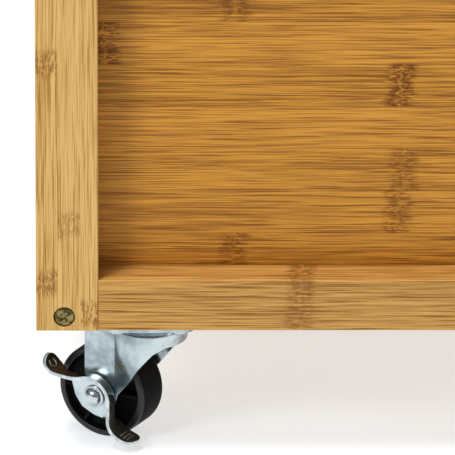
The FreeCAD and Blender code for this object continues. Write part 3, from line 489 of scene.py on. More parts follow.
def metal_plate(name, pale, deep, rough, patch=55.0, bump=0.00006):
    """Plated steel: a cloudy, slightly streaked film with a few dull spots."""
    g = Graph(name)
    x, y, z = g.place()
    where = g.vector(x, y, z)
    clouds = g.noise(where, patch, 3.0, 0.6)
    grain = g.noise(where, patch * 14, 2.0)
    spots = g.step(g.noise(where, patch * 5, 2.0), 0.62, 0.74)
    film = g.mix(g.step(clouds, 0.35, 0.68), pale, deep)
    film = g.mix(g.times(spots, 0.25), film, tuple(c * 0.55 for c in deep))
    dull = g.add(rough, g.times(clouds, 0.14), g.times(spots, 0.12), g.times(grain, 0.05))
    height = g.add(clouds, g.times(grain, 0.12))
    return g.surface(film, dull, metal=1.0, normal=g.bump(height, bump, 0.6))


def moulded(name, base, rough, patch=90.0, bump=0.00005, specular=0.5, coat=0.0):
    """Moulded black plastic with fine scuffs and a little dust."""
    g = Graph(name)
    x, y, z = g.place()
    where = g.vector(x, y, z)
    clouds = g.noise(where, patch, 3.0, 0.65)
    scuffs = g.step(g.noise(g.vector(x, g.times(y, 0.2), z), 900.0, 2.0), 0.6, 0.8)
    skin = g.mix(g.step(clouds, 0.4, 0.8), base, tuple(c * 1.9 + 0.004 for c in base))
    skin = g.mix(g.times(scuffs, 0.2), skin, tuple(c * 3 + 0.02 for c in base))
    dull = g.add(rough, g.times(clouds, 0.12), g.times(scuffs, 0.12))
    height = g.add(clouds, g.times(scuffs, 0.25))
    return g.surface(skin, dull, specular=specular, normal=g.bump(height, bump), coat=coat)


# Mesh tools. Profiles and outlines are in millimetres


def eased(corners, closed=True, steps=5):
    """A line through corners (x, y, radius), each turned into an arc of its radius."""
    line = []
    for number, (x, y, radius) in enumerate(corners):
        here = Vector((x, y))
        if radius == 0 or (not closed and number in (0, len(corners) - 1)):
            line.append(here)
            continue
        before = Vector(corners[number - 1][:2])
        after = Vector(corners[(number + 1) % len(corners)][:2])
        back, on = (before - here).normalized(), (after - here).normalized()
        half = back.angle(on) / 2
        middle = here + (back + on).normalized() * (radius / math.sin(half))
        start = here + back * (radius / math.tan(half)) - middle
        end = here + on * (radius / math.tan(half)) - middle
        first = math.atan2(start.y, start.x)
        sweep = (math.atan2(end.y, end.x) - first + math.pi) % math.tau - math.pi
        for step in range(steps + 1):
            turn = first + sweep * step / steps
            line.append(middle + Vector((math.cos(turn), math.sin(turn))) * radius)
    return line


def arc_through(start, middle, end, steps):
    """Points on the arc that starts, passes and ends at three points."""
    (ax, ay), (bx, by), (cx, cy) = start, middle, end
    d = 2 * (ax * (by - cy) + bx * (cy - ay) + cx * (ay - by))
    a, b, c = ax * ax + ay * ay, bx * bx + by * by, cx * cx + cy * cy
    centre = Vector((
        (a * (by - cy) + b * (cy - ay) + c * (ay - by)) / d,
        (a * (cx - bx) + b * (ax - cx) + c * (bx - ax)) / d,
    ))
    spokes = [Vector(point) - centre for point in (start, middle, end)]
    angles = [math.atan2(spoke.y, spoke.x) for spoke in spokes]
    sweep = (angles[2] - angles[0]) % math.tau
    if (angles[1] - angles[0]) % math.tau > sweep:
        sweep -= math.tau
    turns = [angles[0] + sweep * step / steps for step in range(steps + 1)]
    return [centre + Vector((math.cos(t), math.sin(t))) * spokes[0].length for t in turns]


def smooth(low, high, value):
    share = min(1, max(0, (value - low) / (high - low)))
    return share * share * (3 - 2 * share)


def lathe(profile, steps=96):
    """A closed profile of (out, along) points turned about the along axis, which is the mesh's Y."""
    bm = bmesh.new()
    rings = []
    for step in range(steps):
        turn = math.tau * step / steps
        across = (math.cos(turn), math.sin(turn))
        rings.append([bm.verts.new((out * across[0], along, out * across[1])) for out, along in profile])
    for number, ring in enumerate(rings):
        following = rings[(number + 1) % steps]
        for first in range(len(profile)):
            second = (first + 1) % len(profile)
            bm.faces.new((ring[first], ring[second], following[second], following[first]))
    bmesh.ops.remove_doubles(bm, verts=bm.verts, dist=1e-5)
    bmesh.ops.dissolve_degenerate(bm, edges=bm.edges, dist=1e-6)
    bmesh.ops.recalc_face_normals(bm, faces=bm.faces)
    return bm


def grid(rows, marks=None):
    """A sheet through rows of points. marks gives the material number of each column of faces."""
    bm = bmesh.new()
    made = [[bm.verts.new(point) for point in row] for row in rows]
    for row, following in zip(made, made[1:]):
        for column in range(len(row) - 1):
            corners = (row[column], row[column + 1], following[column + 1], following[column])
            face = bm.faces.new(corners)
            face.material_index = marks[column] if marks else 0
    return bm


def box_mesh(size, at=(0, 0, 0), turn=0.0, taper=1.0):
    """A box about a point, turned about Y; taper narrows its -Y end."""
    bm = bmesh.new()
    bmesh.ops.create_cube(bm, size=1)
    for vert in bm.verts:
        if vert.co.y < 0:
            vert.co.x *= taper
            vert.co.z *= taper
    shape = Matrix.Translation(at) @ Matrix.Rotation(turn, 4, "Y") @ Matrix.Diagonal((*size, 1))
    bmesh.ops.transform(bm, matrix=shape, verts=bm.verts)
    return bm


def to_mesh(name, bm):
    mesh = bpy.data.meshes.new(name)
    bm.to_mesh(mesh)
    bm.free()
    return mesh


def shaped(name, mesh, *modifiers):
    """The mesh with modifiers applied, each given as a kind and a dict of settings."""
    worker = bpy.data.objects.new(name, mesh)
    bpy.context.scene.collection.objects.link(worker)
    for number, (kind, settings) in enumerate(modifiers):
        modifier = worker.modifiers.new(f"step_{number}", kind)
        for key, setting in settings.items():
            setattr(modifier, key, setting)
    graph = bpy.context.evaluated_depsgraph_get()
    made = bpy.data.meshes.new_from_object(worker.evaluated_get(graph))
    made.name = name
    bpy.data.objects.remove(worker)
    return made


def reach_of(mesh):
    """The low and high corners of a mesh."""
    corners = [vert.co for vert in mesh.vertices]
    return [[pick(co[axis] for co in corners) for axis in range(3)] for pick in (min, max)]


def combined(name, mesh, other, operation):
    """Two solids united, or the second one taken away from the first, or what they share.

    A cut that fails leaves the tool in place, so one that makes the solid larger is an error.
    """
    tool = bpy.data.objects.new(f"{name}_tool", other)
    bpy.context.scene.collection.objects.link(tool)
    settings = {"object": tool, "operation": operation, "solver": "EXACT"}
    made = shaped(name, mesh, ("BOOLEAN", settings))
    bpy.data.objects.remove(tool)
    if operation == "DIFFERENCE":
        (low, high), (cut_low, cut_high) = reach_of(mesh), reach_of(made)
        grown = [a - b for a, b in zip(low + cut_high, cut_low + high)]
        if max(grown) > 0.01:
            raise RuntimeError(f"{name}: the cut failed")
    return made


def put(name, mesh, where, body, finishes, slot, nodes=(), sharp=32):
    """Puts a mesh made in millimetres in the cart, on a body, in place of CAD nodes."""
    mesh = mesh.copy()
    mesh.name = name
    mesh.transform(where @ Matrix.Scale(MM, 4))
    # Clearing the slots sets every face's number to 0
    numbers = [min(face.material_index, len(finishes) - 1) for face in mesh.polygons]
    mesh.materials.clear()
    for finish in finishes:
        mesh.materials.append(finish)
    mesh.polygons.foreach_set("material_index", numbers)
    mesh.shade_smooth()
    mesh.set_sharp_from_angle(angle=math.radians(sharp))
    piece = bpy.data.objects.new(name, mesh)
    bpy.context.scene.collection.objects.link(piece)
    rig.ride(piece, body)
    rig.slot(piece, slot)
    if nodes:
        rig.replaces(piece, *nodes)
    return piece


def islands(node):
    """The box (low, high) of each separate solid in a CAD node."""
    mesh = nodes[node].data
    bm = bmesh.new()
    bm.from_mesh(mesh)
    bmesh.ops.remove_doubles(bm, verts=bm.verts, dist=1e-6)
    waiting, boxes = set(bm.verts), []
    while waiting:
        heap, members = [waiting.pop()], []
        while heap:
            vert = heap.pop()
            members.append(vert.co.copy())
            for edge in vert.link_edges:
                other = edge.other_vert(vert)
                if other in waiting:
                    waiting.remove(other)
                    heap.append(other)
        low = Vector([min(co[axis] for co in members) for axis in range(3)])
        high = Vector([max(co[axis] for co in members) for axis in range(3)])
        boxes.append((low, high))
    bm.free()
    return sorted(boxes, key=lambda pair: tuple(pair[0]))


# Casters


SHEET = 1.8
LEG_FACE = 15.2
LEG_FRONT, LEG_BACK = -10.8, -29.4
LEG_MIDDLE = (LEG_FRONT + LEG_BACK) / 2
LEG_END = (LEG_FRONT - LEG_BACK) / 2
CROWN_TOP, CROWN_REACH, CROWN_ROUND = -4.5, 20.0, 4.0
SKIRT_LOW = -14.0
# The hood's free edge, from a leg's crease up to the skirt
HOOD_EDGE = [(-12.0, -47.0), (-8.5, -43.0), (-1.2, -34.2), (5.4, -25.0), (11.6, -17.2), (16.4, -14.0)]
PIN_HOLE = 4.08


def caster_frame(corner):
    """The matrix from a caster's own frame to the cart's, and its axle's place in that frame."""
    swivel = Vector(joints[f"caster_swivel_{corner}"]["pos_m"])
    axle = Vector(joints[f"wheel_spin_{corner}"]["pos_m"])
    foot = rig.box(f"caster_plate_{corner}")[1].z
    ahead = (swivel - axle) * Vector((1, 1, 0))
    lead = ahead.normalized()
    left = Vector((-lead.y, lead.x, 0))
    turn = Matrix((lead, left, Vector((0, 0, 1)))).transposed().to_4x4()
    where = Matrix.Translation((swivel.x, swivel.y, foot)) @ turn
    return where, Vector((-ahead.length, 0, axle.z - foot)) / MM


def hood_low(ahead):
    """Height of the hood's free edge at a distance ahead of the swivel axis."""
    if ahead >= HOOD_EDGE[-1][0]:
        return SKIRT_LOW
    for (x0, z0), (x1, z1) in zip(HOOD_EDGE, HOOD_EDGE[1:]):
        if ahead <= x1:
            return z0 + (z1 - z0) * (ahead - x0) / (x1 - x0)
    return SKIRT_LOW


def fork_plan():
    """Half of the fork's outline from above, from a leg's rear edge to the very front."""
    leg_steps, hood_steps = 30, 46
    points = []
    for step in range(leg_steps + 1):
        share = (1 - math.cos(math.pi * step / leg_steps)) / 2
        points.append((LEG_BACK + (LEG_FRONT - 0.9 - LEG_BACK) * share, LEG_FACE, True))
    first = math.acos((LEG_FRONT + 0.9) / CROWN_REACH)
    for step in range(hood_steps + 1):
        turn = first * (1 - step / hood_steps)
        point = (CROWN_REACH * math.cos(turn), CROWN_REACH * math.sin(turn), False)
        points.append(point)
    return points


def fork_mesh(axle):
    """The pressed fork as one bent sheet: crown, skirt, hood and two legs."""
    half = fork_plan()
    plan = half + [(x, -y, leg) for x, y, leg in reversed(half[:-1])]
    wall_rows, bend_rows = 30, 7
    columns = []
    for number, (x, y, leg) in enumerate(plan):
        ahead = Vector(plan[min(number + 1, len(plan) - 1)][:2])
        behind = Vector(plan[max(number - 1, 0)][:2])
        out = (ahead - behind).normalized()
        out = Vector((-out.y, out.x)) if not leg else Vector((0, math.copysign(1, y)))
        if out.dot(Vector((x, y))) < 0:
            out = -out
        here = Vector((x, y))
        column = []
        for row in range(bend_rows):
            turn = math.pi / 2 * row / bend_rows
            spot = here - out * CROWN_ROUND * (1 - math.sin(turn))
            column.append((spot.x, spot.y, CROWN_TOP - CROWN_ROUND * (1 - math.cos(turn))))
        if leg or x < HOOD_EDGE[0][0]:
            low = axle.z - math.sqrt(max(0, LEG_END**2 - (x - LEG_MIDDLE) ** 2))
        else:
            low = hood_low(x)
        top = CROWN_TOP - CROWN_ROUND
        for row in range(wall_rows + 1):
            z = top + (low - top) * row / wall_rows
            far = math.hypot(x - axle.x, z - axle.z)
            flare = smooth(14.6, 34.0, far)
            wide = abs(y)
            if wide > LEG_FACE:
                wide = LEG_FACE + (wide - LEG_FACE) * flare
            column.append((x, math.copysign(wide, y) if y else 0.0, z))
        columns.append(column)
    bm = grid(columns)
    # The top plate, from the upper rim in to the kingpin's hole, with the pressed race for the balls
    rim = [column[0] for column in columns]
    rear_steps = 12
    last, first = Vector(rim[-1]), Vector(rim[0])
    rim += [tuple(last.lerp(first, step / rear_steps)) for step in range(1, rear_steps)]
    race = [(1.0, 0), (0.86, 0), (0.70, -0.15), (0.64, -0.42), (0.56, -0.15), (0.44, 0)]
    rings = []
    for share, sink in race:
        rings.append([(x * share, y * share, CROWN_TOP + sink) for x, y, z in rim])
    hole = [Vector((x, y)).normalized() * PIN_HOLE for x, y, z in rim]
    rings.append([(spot.x, spot.y, CROWN_TOP) for spot in hole])
    cap = grid([ring + ring[:1] for ring in rings])
    mesh = bpy.data.meshes.new("cap")
    cap.to_mesh(mesh)
    cap.free()
    bm.from_mesh(mesh)
    bmesh.ops.remove_doubles(bm, verts=bm.verts, dist=1e-4)
    bmesh.ops.recalc_face_normals(bm, faces=bm.faces)
    top_face = max(bm.faces, key=lambda face: face.calc_center_median().z)
    if top_face.normal.z < 0:
        bmesh.ops.reverse_faces(bm, faces=bm.faces)
    sheet = shaped("fork", to_mesh("fork", bm), ("SOLIDIFY", {"thickness": SHEET, "offset": -1.0}))
    drill = lathe([(0, -30), (3.05, -30), (3.05, 30), (0, 30)], 32)
    bmesh.ops.translate(drill, verts=drill.verts, vec=axle)
    drilled = combined("fork", sheet, to_mesh("drill", drill), "DIFFERENCE")
    bevel = {"width": 0.28, "segments": 2, "limit_method": "ANGLE", "angle_limit": math.radians(50)}
    return shaped("fork", drilled, ("BEVEL", bevel))


WHEEL_HALF = 10.5
WHEEL_WEB = 5.5
HUB_REACH, HUB_HALF = 7.5, 12.2
RIM_REACH = 21.5
BORE = 3.08
RIB_THICK, RIB_HALF = 1.8, 9.5
RIBS = 3


def wheel_mesh(axle, reach):
    """Moulded wheel: a flat tread, a raised rim, a ribbed web and a wide hub."""
    half = [
        (BORE, HUB_HALF, 0.4),
        (HUB_REACH - 0.3, HUB_HALF, 0.7),
        (HUB_REACH, WHEEL_WEB, 1.4),
        (RIM_REACH - 0.5, WHEEL_WEB, 1.6),
        (RIM_REACH, WHEEL_HALF, 0.8),
        (reach, WHEEL_HALF, 1.5),
    ]
    far = [(out, -along, radius) for out, along, radius in reversed(half)]
    profile = eased(half + far)
    body = to_mesh("wheel", lathe(profile, 120))
    for number in range(RIBS):
        turn = math.pi * number / RIBS
        rib = box_mesh((2 * (RIM_REACH + 0.6), 2 * RIB_HALF, RIB_THICK), turn=turn)
        bevel = {"width": 0.45, "segments": 3}
        rib = shaped("rib", to_mesh("rib", rib), ("BEVEL", bevel))
        body = combined("wheel", body, rib, "UNION")
    bore = lathe([(0, -20), (BORE, -20), (BORE, 20), (0, 20)], 40)
    body = combined("wheel", body, to_mesh("bore", bore), "DIFFERENCE")
    for face in body.polygons:
        out = math.hypot(face.center.x, face.center.z)
        face.material_index = 1 if out > RIM_REACH - 1 and abs(face.center.y) > WHEEL_HALF - 1.4 else 0
    body.transform(Matrix.Translation(axle))
    return body


LEVER_THICK = 1.9
# What the lever and its play take up between the fork's leg and the bolt's head
LEVER_ROOM = 2.6
WEB_PLANE = 16.5
FLANGE_OUT = 22.4
PEDAL_IN, PEDAL_OUT = 11.6, 23.9
# The lever's strip seen from the side, from the axle: straight runs (2 points) and arcs (3)
LEVER_LINE = [
    [(-27.3, 18.2), (-25.6, 13.6), (-22, 10.6)],
    [(-22, 10.6), (-18, 9.6)],
    [(-18, 9.6), (-13, 9.3), (-6.5, 10)],
    [(-6.5, 10), (6.3, 9), (10.9, 0)],
    [(10.9, 0), (10.9, -8)],
    [(10.9, -8), (13.4, -15), (19, -18.6)],
    [(19, -18.6), (22.8, -19.6), (26.5, -19.6)],
]
# The lower edge of the lever's flat web, from the axle
WEB_EDGE = [
    (-16.5, 8.6), (-13.2, 6.0), (-11.2, -1.5), (-7.2, -7.0), (-0.5, -10.2), (6.0, -11.4), (10.4, -13.0)
]
# How many pieces an arc and a straight run of the lever's line are cut into
ARC_STEPS, RUN_STEPS = 24, 12
# Material numbers on the lever's mesh
ZINC, COAT, CUT_EDGE = 0, 1, 2


def lever_line():
    """Evenly spaced points along the strip, each with its distance from the rear pedal's tip."""
    points = []
    for run in LEVER_LINE:
        if len(run) == 3:
            stretch = arc_through(*run, steps=ARC_STEPS)
        else:
            start, end = Vector(run[0]), Vector(run[1])
            stretch = [start.lerp(end, step / RUN_STEPS) for step in range(RUN_STEPS + 1)]
        points += stretch if not points else stretch[1:]
    lengths = [0.0]
    for before, after in zip(points, points[1:]):
        lengths.append(lengths[-1] + (after - before).length)
    return points, lengths


def along_line(points, lengths, far):
    """The point at a distance along a line."""
    for number in range(1, len(points)):
        if far <= lengths[number]:
            share = (far - lengths[number - 1]) / (lengths[number] - lengths[number - 1])
            return points[number - 1].lerp(points[number], share)
    return points[-1].copy()


def tip(far, length):
    """How wide a rounded end of that length is, as a share, at a distance from its tip."""
    if far >= length:
        return 1.0
    return math.sqrt(max(0.0, 1 - (1 - far / length) ** 2))


def bored(lever):
    """The lever with its axle hole. The drill is turned a little and tried again if a cut fails."""
    for turn in (0.0, 0.02, 0.05, 0.07, 0.11):
        drill = to_mesh("drill", lathe([(0, -40), (BORE, -40), (BORE, 0), (0, 0)], 40))
        drill.transform(Matrix.Rotation(turn, 4, "Y"))
        try:
            return combined("lever", lever, drill, "DIFFERENCE")
        except RuntimeError:
            continue
    raise RuntimeError("the lever's axle hole was not cut")


def lever_mesh(axle):
    """The brake lever, pressed from one sheet: a web on the axle, a flange round it, two pedals."""
    points, lengths = lever_line()
    total = lengths[-1]
    web_points = [Vector(point) for point in WEB_EDGE]
    web_lengths = [0.0]
    for before, after in zip(web_points, web_points[1:]):
        web_lengths.append(web_lengths[-1] + (after - before).length)
    # The web starts a quarter of the way along the saddle's arc and ends before the front pedal's arcs
    saddle = ARC_STEPS + RUN_STEPS + ARC_STEPS // 4
    web_start = lengths[saddle + 1]
    web_end = lengths[-1 - ARC_STEPS - 14]
    rear_long, front_long, end_round, blunt = 13.0, 20.0, 6.2, 0.22
    coat_past_web = 5.0
    middle = (PEDAL_IN + PEDAL_OUT) / 2
    stations = 150
    rows, marks = [], []
    for number in range(stations + 1):
        # Closer together at both tips
        share = (1 - math.cos(math.pi * number / stations)) / 2
        far = total * (0.5 * share + 0.5 * number / stations)
        here = along_line(points, lengths, far)
        rear = 1 - smooth(rear_long - 5, rear_long + 4, far)
        front = 1 - smooth(front_long - 5, front_long + 4, total - far)
        pedal = max(rear, front)
        narrow = tip(min(far, total - far), end_round)
        inner = WEB_PLANE - (WEB_PLANE - PEDAL_IN) * pedal
        outer = FLANGE_OUT + (PEDAL_OUT - FLANGE_OUT) * pedal
        inner = middle - (middle - inner) * max(narrow, blunt)
        outer = middle + (outer - middle) * max(narrow, blunt)
        webbed = smooth(web_start - 2, web_start + 3, far) * (1 - smooth(web_end - 1, web_end + 6, far))
        inside = (far - web_start) / (web_end - web_start)
        low = along_line(web_points, web_lengths, web_lengths[-1] * min(1, max(0, inside)))
        reach = (low - here) * webbed
        row = []
        for step in (1.0, 0.8, 0.6, 0.4, 0.22, 0.1):
            spot = here + reach * step
            depth = WEB_PLANE if pedal < 0.01 else WEB_PLANE + (inner - WEB_PLANE) * step
            row.append((spot.x, -depth, spot.y))
        base = min(WEB_PLANE, outer) if pedal < 0.01 else WEB_PLANE * narrow + middle * (1 - narrow)
        for step in (0.0, 0.12, 0.3, 0.55, 0.8, 1.0):
            row.append((here.x, -(base + (outer - base) * step), here.y))
        rows.append(row)
        rear_coat = far < web_start + coat_past_web
        front_coat = here.y < -1 and far > total / 2
        marks.append(COAT if rear_coat or front_coat else ZINC)
    columns = [list(column) for column in zip(*rows)]
    bm = grid(columns, marks)
    # The web is zinc right up to the front arm
    for face in bm.faces:
        spot = face.calc_center_median()
        if abs(spot.y + WEB_PLANE) < 0.05 and WEB_EDGE[0][0] < spot.x < WEB_EDGE[-1][0]:
            face.material_index = ZINC
    bmesh.ops.recalc_face_normals(bm, faces=bm.faces)
    solid = {"thickness": LEVER_THICK, "offset": 0.0, "use_even_offset": False}
    solid["material_offset_rim"] = CUT_EDGE
    bevel = {"width": 0.3, "segments": 2, "limit_method": "ANGLE", "angle_limit": math.radians(55)}
    sheet = to_mesh("lever", bm)
    # The rim's material number is kept only where the slots are there
    for _ in (ZINC, COAT, CUT_EDGE):
        sheet.materials.append(None)
    lever = shaped("lever", sheet, ("SUBSURF", {"levels": 1}), ("SOLIDIFY", solid))
    lever = shaped("lever", bored(lever), ("BEVEL", bevel))
    for face in lever.polygons:
        face.material_index = min(face.material_index, CUT_EDGE)
    lever.transform(Matrix.Translation(axle))
    return lever


def bolt_mesh(axle, seat):
    """The axle bolt: a domed, lightly dished head against its seat, and a shank with a tail."""
    reach, tall, shank, tail = 6.0, 4.0, 3.0, 21.6
    corners = [
        (0, -seat - tall, 0),
        (1.9, -seat - tall + 0.02, 2),
        (4.1, -seat - tall + 1.0, 2.4),
        (4.7, -seat - 0.9, 0.5),
        (reach, -seat - 0.9, 0.3),
        (reach, -seat, 0.25),
        (shank, -seat, 0),
        (shank, tail, 0.5),
        (0, tail, 0),
    ]
    mesh = to_mesh("bolt", lathe(eased(corners), 72))
    mesh.transform(Matrix.Translation(axle))
    return mesh


def nut_mesh(axle):
    """A hexagonal nut, chamfered at both faces."""
    seat, thick, corner = LEG_FACE, 5.0, 5.77
    bm = bmesh.new()
    bmesh.ops.create_cone(
        bm, cap_ends=True, segments=6, radius1=corner, radius2=corner, depth=thick
    )
    turn = Matrix.Rotation(math.radians(90), 4, "X")
    bmesh.ops.transform(bm, matrix=Matrix.Translation((0, seat + thick / 2, 0)) @ turn, verts=bm.verts)
    flat = corner * math.cos(math.pi / 6)
    cone = [
        (BORE, seat, 0.3),
        (flat - 0.1, seat, 0),
        (corner + 0.1, seat + 0.6, 0),
        (corner + 0.1, seat + thick - 0.6, 0),
        (flat - 0.1, seat + thick, 0),
        (BORE, seat + thick, 0.3),
    ]
    chamfer = to_mesh("chamfer", lathe(eased(cone), 72))
    mesh = combined("nut", to_mesh("nut", bm), chamfer, "INTERSECT")
    mesh.transform(Matrix.Translation(axle))
    return mesh


def screw_mesh(reach, tall, recess):
    """A low-domed screw head with a rounded rim and a cross recess. Its face is at Y 0, out to -Y."""
    corners = [
        (0, 0, 0),
        (reach * 0.62, 0.02, 6),
        (reach - 0.35, 0.45, 0.8),
        (reach, 0.9, 0.3),
        (reach, tall, 0),
        (0, tall, 0),
    ]
    mesh = to_mesh("screw", lathe(eased(corners), 64))
    for turn in (0, math.pi / 2):
        arm = box_mesh((recess, 3.0, recess * 0.27), turn=turn)
        arm = to_mesh("arm", arm)
        mesh = combined("screw", mesh, arm, "DIFFERENCE")
    bevel = {"width": 0.12, "segments": 2, "limit_method": "ANGLE", "angle_limit": math.radians(40)}
    return shaped("screw", mesh, ("BEVEL", bevel))


def knob_mesh(low, high):
    """The drawer's turned knob, from its neck on the drawer front out to a dished face."""
    reach, tall, neck = (high.x - low.x) / 2 / MM, (high.y - low.y) / MM, 6.0
    corners = [
        (0, 0, 0),
        (neck + 2.2, 0, 0.5),
        (neck + 0.6, -1.6, 1.2),
        (neck - 0.6, -0.4 * tall, 4.0),
        (neck + 0.8, -0.52 * tall, 2.4),
        (reach, -0.66 * tall, 2.2),
        (reach, -tall + 0.3, 2.4),
        (reach - 4.0, -tall, 1.6),
        (reach - 6.0, -tall + 0.7, 3.0),
        (0, -tall + 1.0, 0),
    ]
    return to_mesh("knob", lathe(eased(corners), 96))


def pedal_marks(axle):
    """Plain raised marks on the pedals' upper faces: a ring on the rear one, bars on the front one."""
    points, lengths = lever_line()
    proud = LEVER_THICK / 2
    middle = (PEDAL_IN + PEDAL_OUT) / 2
    made = bmesh.new()

    def lay(mesh, far):
        here, ahead = along_line(points, lengths, far), along_line(points, lengths, far + 0.5)
        run = (ahead - here).normalized()
        face = Vector((here.x - run.y * proud, -middle, here.y + run.x * proud))
        spot = Matrix.Translation(axle + face)
        mesh.transform(spot @ Matrix.Rotation(math.atan2(-run.y, run.x), 4, "Y"))
        made.from_mesh(mesh)

    # Distances along the strip, from the nearer tip
    ring_at, first_bar, bars_apart = 5.6, 5.0, 2.2
    ring_reach, ring_thick, sides = 2.4, 0.34, 10
    turns = [math.tau * step / sides for step in range(sides)]
    outline = [(ring_reach + ring_thick * math.cos(t), ring_thick * math.sin(t)) for t in turns]
    ring = to_mesh("ring", lathe(outline, 40))
    ring.transform(Matrix.Rotation(math.pi / 2, 4, "X"))
    lay(ring, ring_at)
    for number in range(3):
        bar = to_mesh("bar", box_mesh((0.7, 6.5, 0.7)))
        bar = shaped("bar", bar, ("BEVEL", {"width": 0.2, "segments": 2}))
        lay(bar, lengths[-1] - first_bar - bars_apart * number)
    return to_mesh("marks", made)


def make_casters(finish):
    """The finer meshes of the four casters, made once and shared."""
    shapes = {}
    for corner in CORNERS:
        where, axle = caster_frame(corner)
        if not shapes:
            wheel_low, wheel_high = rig.box(f"caster_wheel_{corner}")
            shapes["fork"] = fork_mesh(axle)
            shapes["wheel"] = wheel_mesh(axle, (wheel_high.z - wheel_low.z) / 2 / MM)
            shapes["nut"] = nut_mesh(axle)
            shapes["plain"] = bolt_mesh(axle, LEG_FACE)
            shapes["braked"] = bolt_mesh(axle, LEG_FACE + LEVER_ROOM)
            shapes["lever"] = lever_mesh(axle)
            shapes["marks"] = pedal_marks(axle)
        fork, bolt = f"fork_{corner}", "braked" if corner in BRAKED else "plain"
        zinc, steel = [finish["zinc"]], [finish["steel"]]
        made = [
            (f"pressed_fork_{corner}", shapes["fork"], fork, zinc, f"caster_fork_{corner}"),
            (f"hex_nut_{corner}", shapes["nut"], fork, steel, f"axle_nut_{corner}"),
            (f"domed_bolt_{corner}", shapes[bolt], fork, steel, f"axle_bolt_{corner}"),
        ]
        if corner in BRAKED:
            looks = [finish["zinc"], finish["coat"], finish["cut_edge"]]
            lever = f"brake_lever_{corner}"
            made.append((f"pressed_lever_{corner}", shapes["lever"], f"brake_{corner}", looks, lever))
            edge = [finish["cut_edge"]]
            put(f"pedal_marks_{corner}", shapes["marks"], where, f"brake_{corner}", edge, "zinc_steel")
        for name, shape, body, looks, node in made:
            put(name, shape, where, body, looks, "zinc_steel", [node])
        looks = [finish["wheel"], finish["rim"]]
        name, body = f"moulded_wheel_{corner}", f"wheel_{corner}"
        put(name, shapes["wheel"], where, body, looks, "wheel_black", [f"caster_wheel_{corner}"])


def make_screws(finish):
    """A head for each frame screw, facing out, turned its own way."""
    shape = screw_mesh(reach=5.25, tall=2.5, recess=5.4)
    rng = random.Random(7)
    for number, (low, high) in enumerate(islands("frame_screws")):
        side = 1 if high.x > 0 else -1
        face = high.x if side > 0 else low.x
        where = Matrix.Translation((face, (low.y + high.y) / 2, (low.z + high.z) / 2))
        where = where @ Matrix.Rotation(side * math.pi / 2, 4, "Z")
        where = where @ Matrix.Rotation(rng.uniform(0, math.pi / 2), 4, "Y")
        heads = ["frame_screws"] if number == 0 else []
        put(f"screw_head_{number}", shape, where, "cart", [finish["brass"]], "bronzed_screws", heads)


def make_knob(finish):
    low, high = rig.box("drawer_knob")
    where = Matrix.Translation(((low.x + high.x) / 2, high.y, (low.z + high.z) / 2))
    put("turned_knob", knob_mesh(low, high), where, "drawer", [finish["knob"]],
        "knob_steel", ["drawer_knob"])


# What each carried-over CAD node is made of


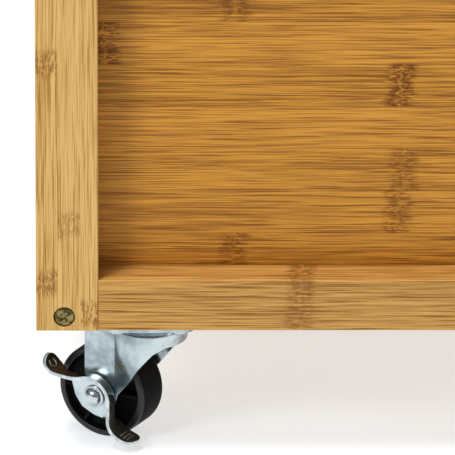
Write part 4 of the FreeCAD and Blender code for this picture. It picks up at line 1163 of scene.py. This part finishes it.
def make_finishes():
    """Every material of the cart, by name."""
    post = dict(pale=(222, 184, 112), deep=(164, 116, 48), strip=0.0117, contrast=1.25, knuckle=0.85)
    rail = dict(pale=(206, 157, 84), deep=(138, 88, 30), contrast=1.3, knuckle=0.85)
    panel = dict(pale=(208, 147, 52), deep=(128, 76, 14), contrast=1.35)
    top = dict(pale=(206, 158, 88), deep=(142, 92, 36), contrast=1.2)
    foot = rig.box("post_front_right")[0].z
    # Strips start just off the boards' faces, so that no face lies in a glue line
    first, rail_first = foot + 0.0225, foot - 0.0005
    right_knuckles = [-0.079, 0.0053, 0.0084, 0.106, 0.0068, -0.1439, -0.078]
    more = [0.071, -0.113, 0.024, 0.131, -0.052, -0.131, 0.095, -0.02, 0.052, -0.094, 0.118,
            -0.148, 0.037, -0.066, 0.083, -0.007, 0.142, -0.122, 0.061, -0.036, 0.1]
    # One knuckle's place for each strip in turn, along the grain
    front_post = [foot + 0.0264, -0.2, foot + 0.0097]
    rails = [-0.0449, 0.07, -0.1, 0.02, 0.11, -0.06]
    finish = {
        "post": bamboo("bamboo_post", Bamboo("Z", "Y", seed=3.0, **post)),
        "front_post": bamboo(
            "bamboo_front_post",
            Bamboo("Z", "Y", first=-0.1805, knuckles=front_post, gaps=[0.1216, 0.33, 0.33],
                   seed=3.0, **post),
        ),
        "rail_y": bamboo(
            "bamboo_rail_y",
            Bamboo("Y", "Z", first=rail_first, strip=0.0295, knuckles=rails, seed=11.0, **rail),
        ),
        "rail_x": bamboo("bamboo_rail_x", Bamboo("X", "Z", first=rail_first, seed=17.0, **rail)),
        "panel": bamboo(
            "bamboo_panel",
            Bamboo("Y", "Z", first=first, knuckles=right_knuckles + more, spacing=0.33,
                   seed=23.0, **panel),
        ),
        "board_x": bamboo("bamboo_board_x", Bamboo("X", "Y", seed=29.0, **top)),
        "back_x": bamboo("bamboo_back_x", Bamboo("X", "Z", first=first, seed=31.0, **panel)),
        "bar": bamboo("bamboo_bar", Bamboo("Y", "Z", strip=0.02, first=0.73, seed=37.0, **rail)),
        "dowel": bamboo("beech_dowel", Bamboo("Y", "Z", seed=41.0, **post)),
        "zinc": metal_plate("bright_zinc", (0.54, 0.61, 0.63), (0.24, 0.29, 0.31), 0.15, 48, 0.00004),
        "steel": metal_plate("polished_steel", (0.60, 0.635, 0.65), (0.42, 0.46, 0.48), 0.18, 120),
        "knob": metal_plate("satin_steel", (0.74, 0.74, 0.73), (0.6, 0.6, 0.6), 0.3, 160),
        "cut_edge": metal_plate("cut_edge", (0.7, 0.73, 0.74), (0.46, 0.5, 0.52), 0.3, 300),
        "coat": moulded("dark_coat", (0.014, 0.0125, 0.008), 0.4, 160, specular=0.4),
        "brass": metal_plate("antique_brass", (0.30, 0.245, 0.09), (0.04, 0.032, 0.01), 0.2, 420),
        "wheel": moulded("wheel_plastic", (0.0045, 0.0045, 0.0045), 0.55, specular=0.05),
        "rim": moulded("wheel_rim", (0.006, 0.006, 0.0065), 0.25, specular=0.42),
    }
    return finish


NODE_FINISH = [
    ("post_front_", "front_post"),
    ("post_", "post"),
    ("side_rail_", "rail_y"),
    ("back_rail_", "rail_x"),
    ("front_rail_", "rail_x"),
    ("side_panel_", "panel"),
    ("back_panel", "back_x"),
    ("bottom_shelf", "board_x"),
    ("middle_shelf", "board_x"),
    ("worktop_screws", "steel"),
    ("worktop", "board_x"),
    ("drawer_front", "back_x"),
    ("drawer_knob_screw", "steel"),
    ("drawer_back", "back_x"),
    ("drawer_bottom", "board_x"),
    ("drawer_runner_", "rail_y"),
    ("drawer_side_", "rail_y"),
    ("side_bar_brackets_", "post"),
    ("side_bar_", "bar"),
    ("frame_dowels", "dowel"),
    ("shelf_pins", "steel"),
    ("caster_plate_", "zinc"),
    ("caster_screws", "steel"),
    ("caster_kingpins", "steel"),
    ("caster_bearing_balls", "steel"),
]


ARRIS = 0.0007


def dress_nodes(finish):
    """Gives each CAD node that still shows its material, and the posts and side rails a small arris."""
    for name, node in nodes.items():
        if node.hide_render:
            continue
        chosen = next((look for start, look in NODE_FINISH if name.startswith(start)), None)
        if chosen is None:
            raise RuntimeError(f"{name} has no finish")
        if name.startswith(("post_", "side_rail_")):
            arris = node.modifiers.new("arris", "BEVEL")
            arris.width = ARRIS
            arris.segments = 2
            arris.limit_method = "ANGLE"
            arris.angle_limit = math.radians(60)
        if not node.material_slots:
            node.data.materials.append(finish[chosen])
        for slot in node.material_slots:
            slot.material = finish[chosen]


make_camera()
make_studio()
finishes = make_finishes()
make_casters(finishes)
make_screws(finishes)
make_knob(finishes)
dress_nodes(finishes)

low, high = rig.bounds()
sizes = {"cad": [list(cad_low), list(cad_high)], "scene": [list(low), list(high)]}
with open("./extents.json", "w") as report:
    json.dump(sizes, report, indent=1)
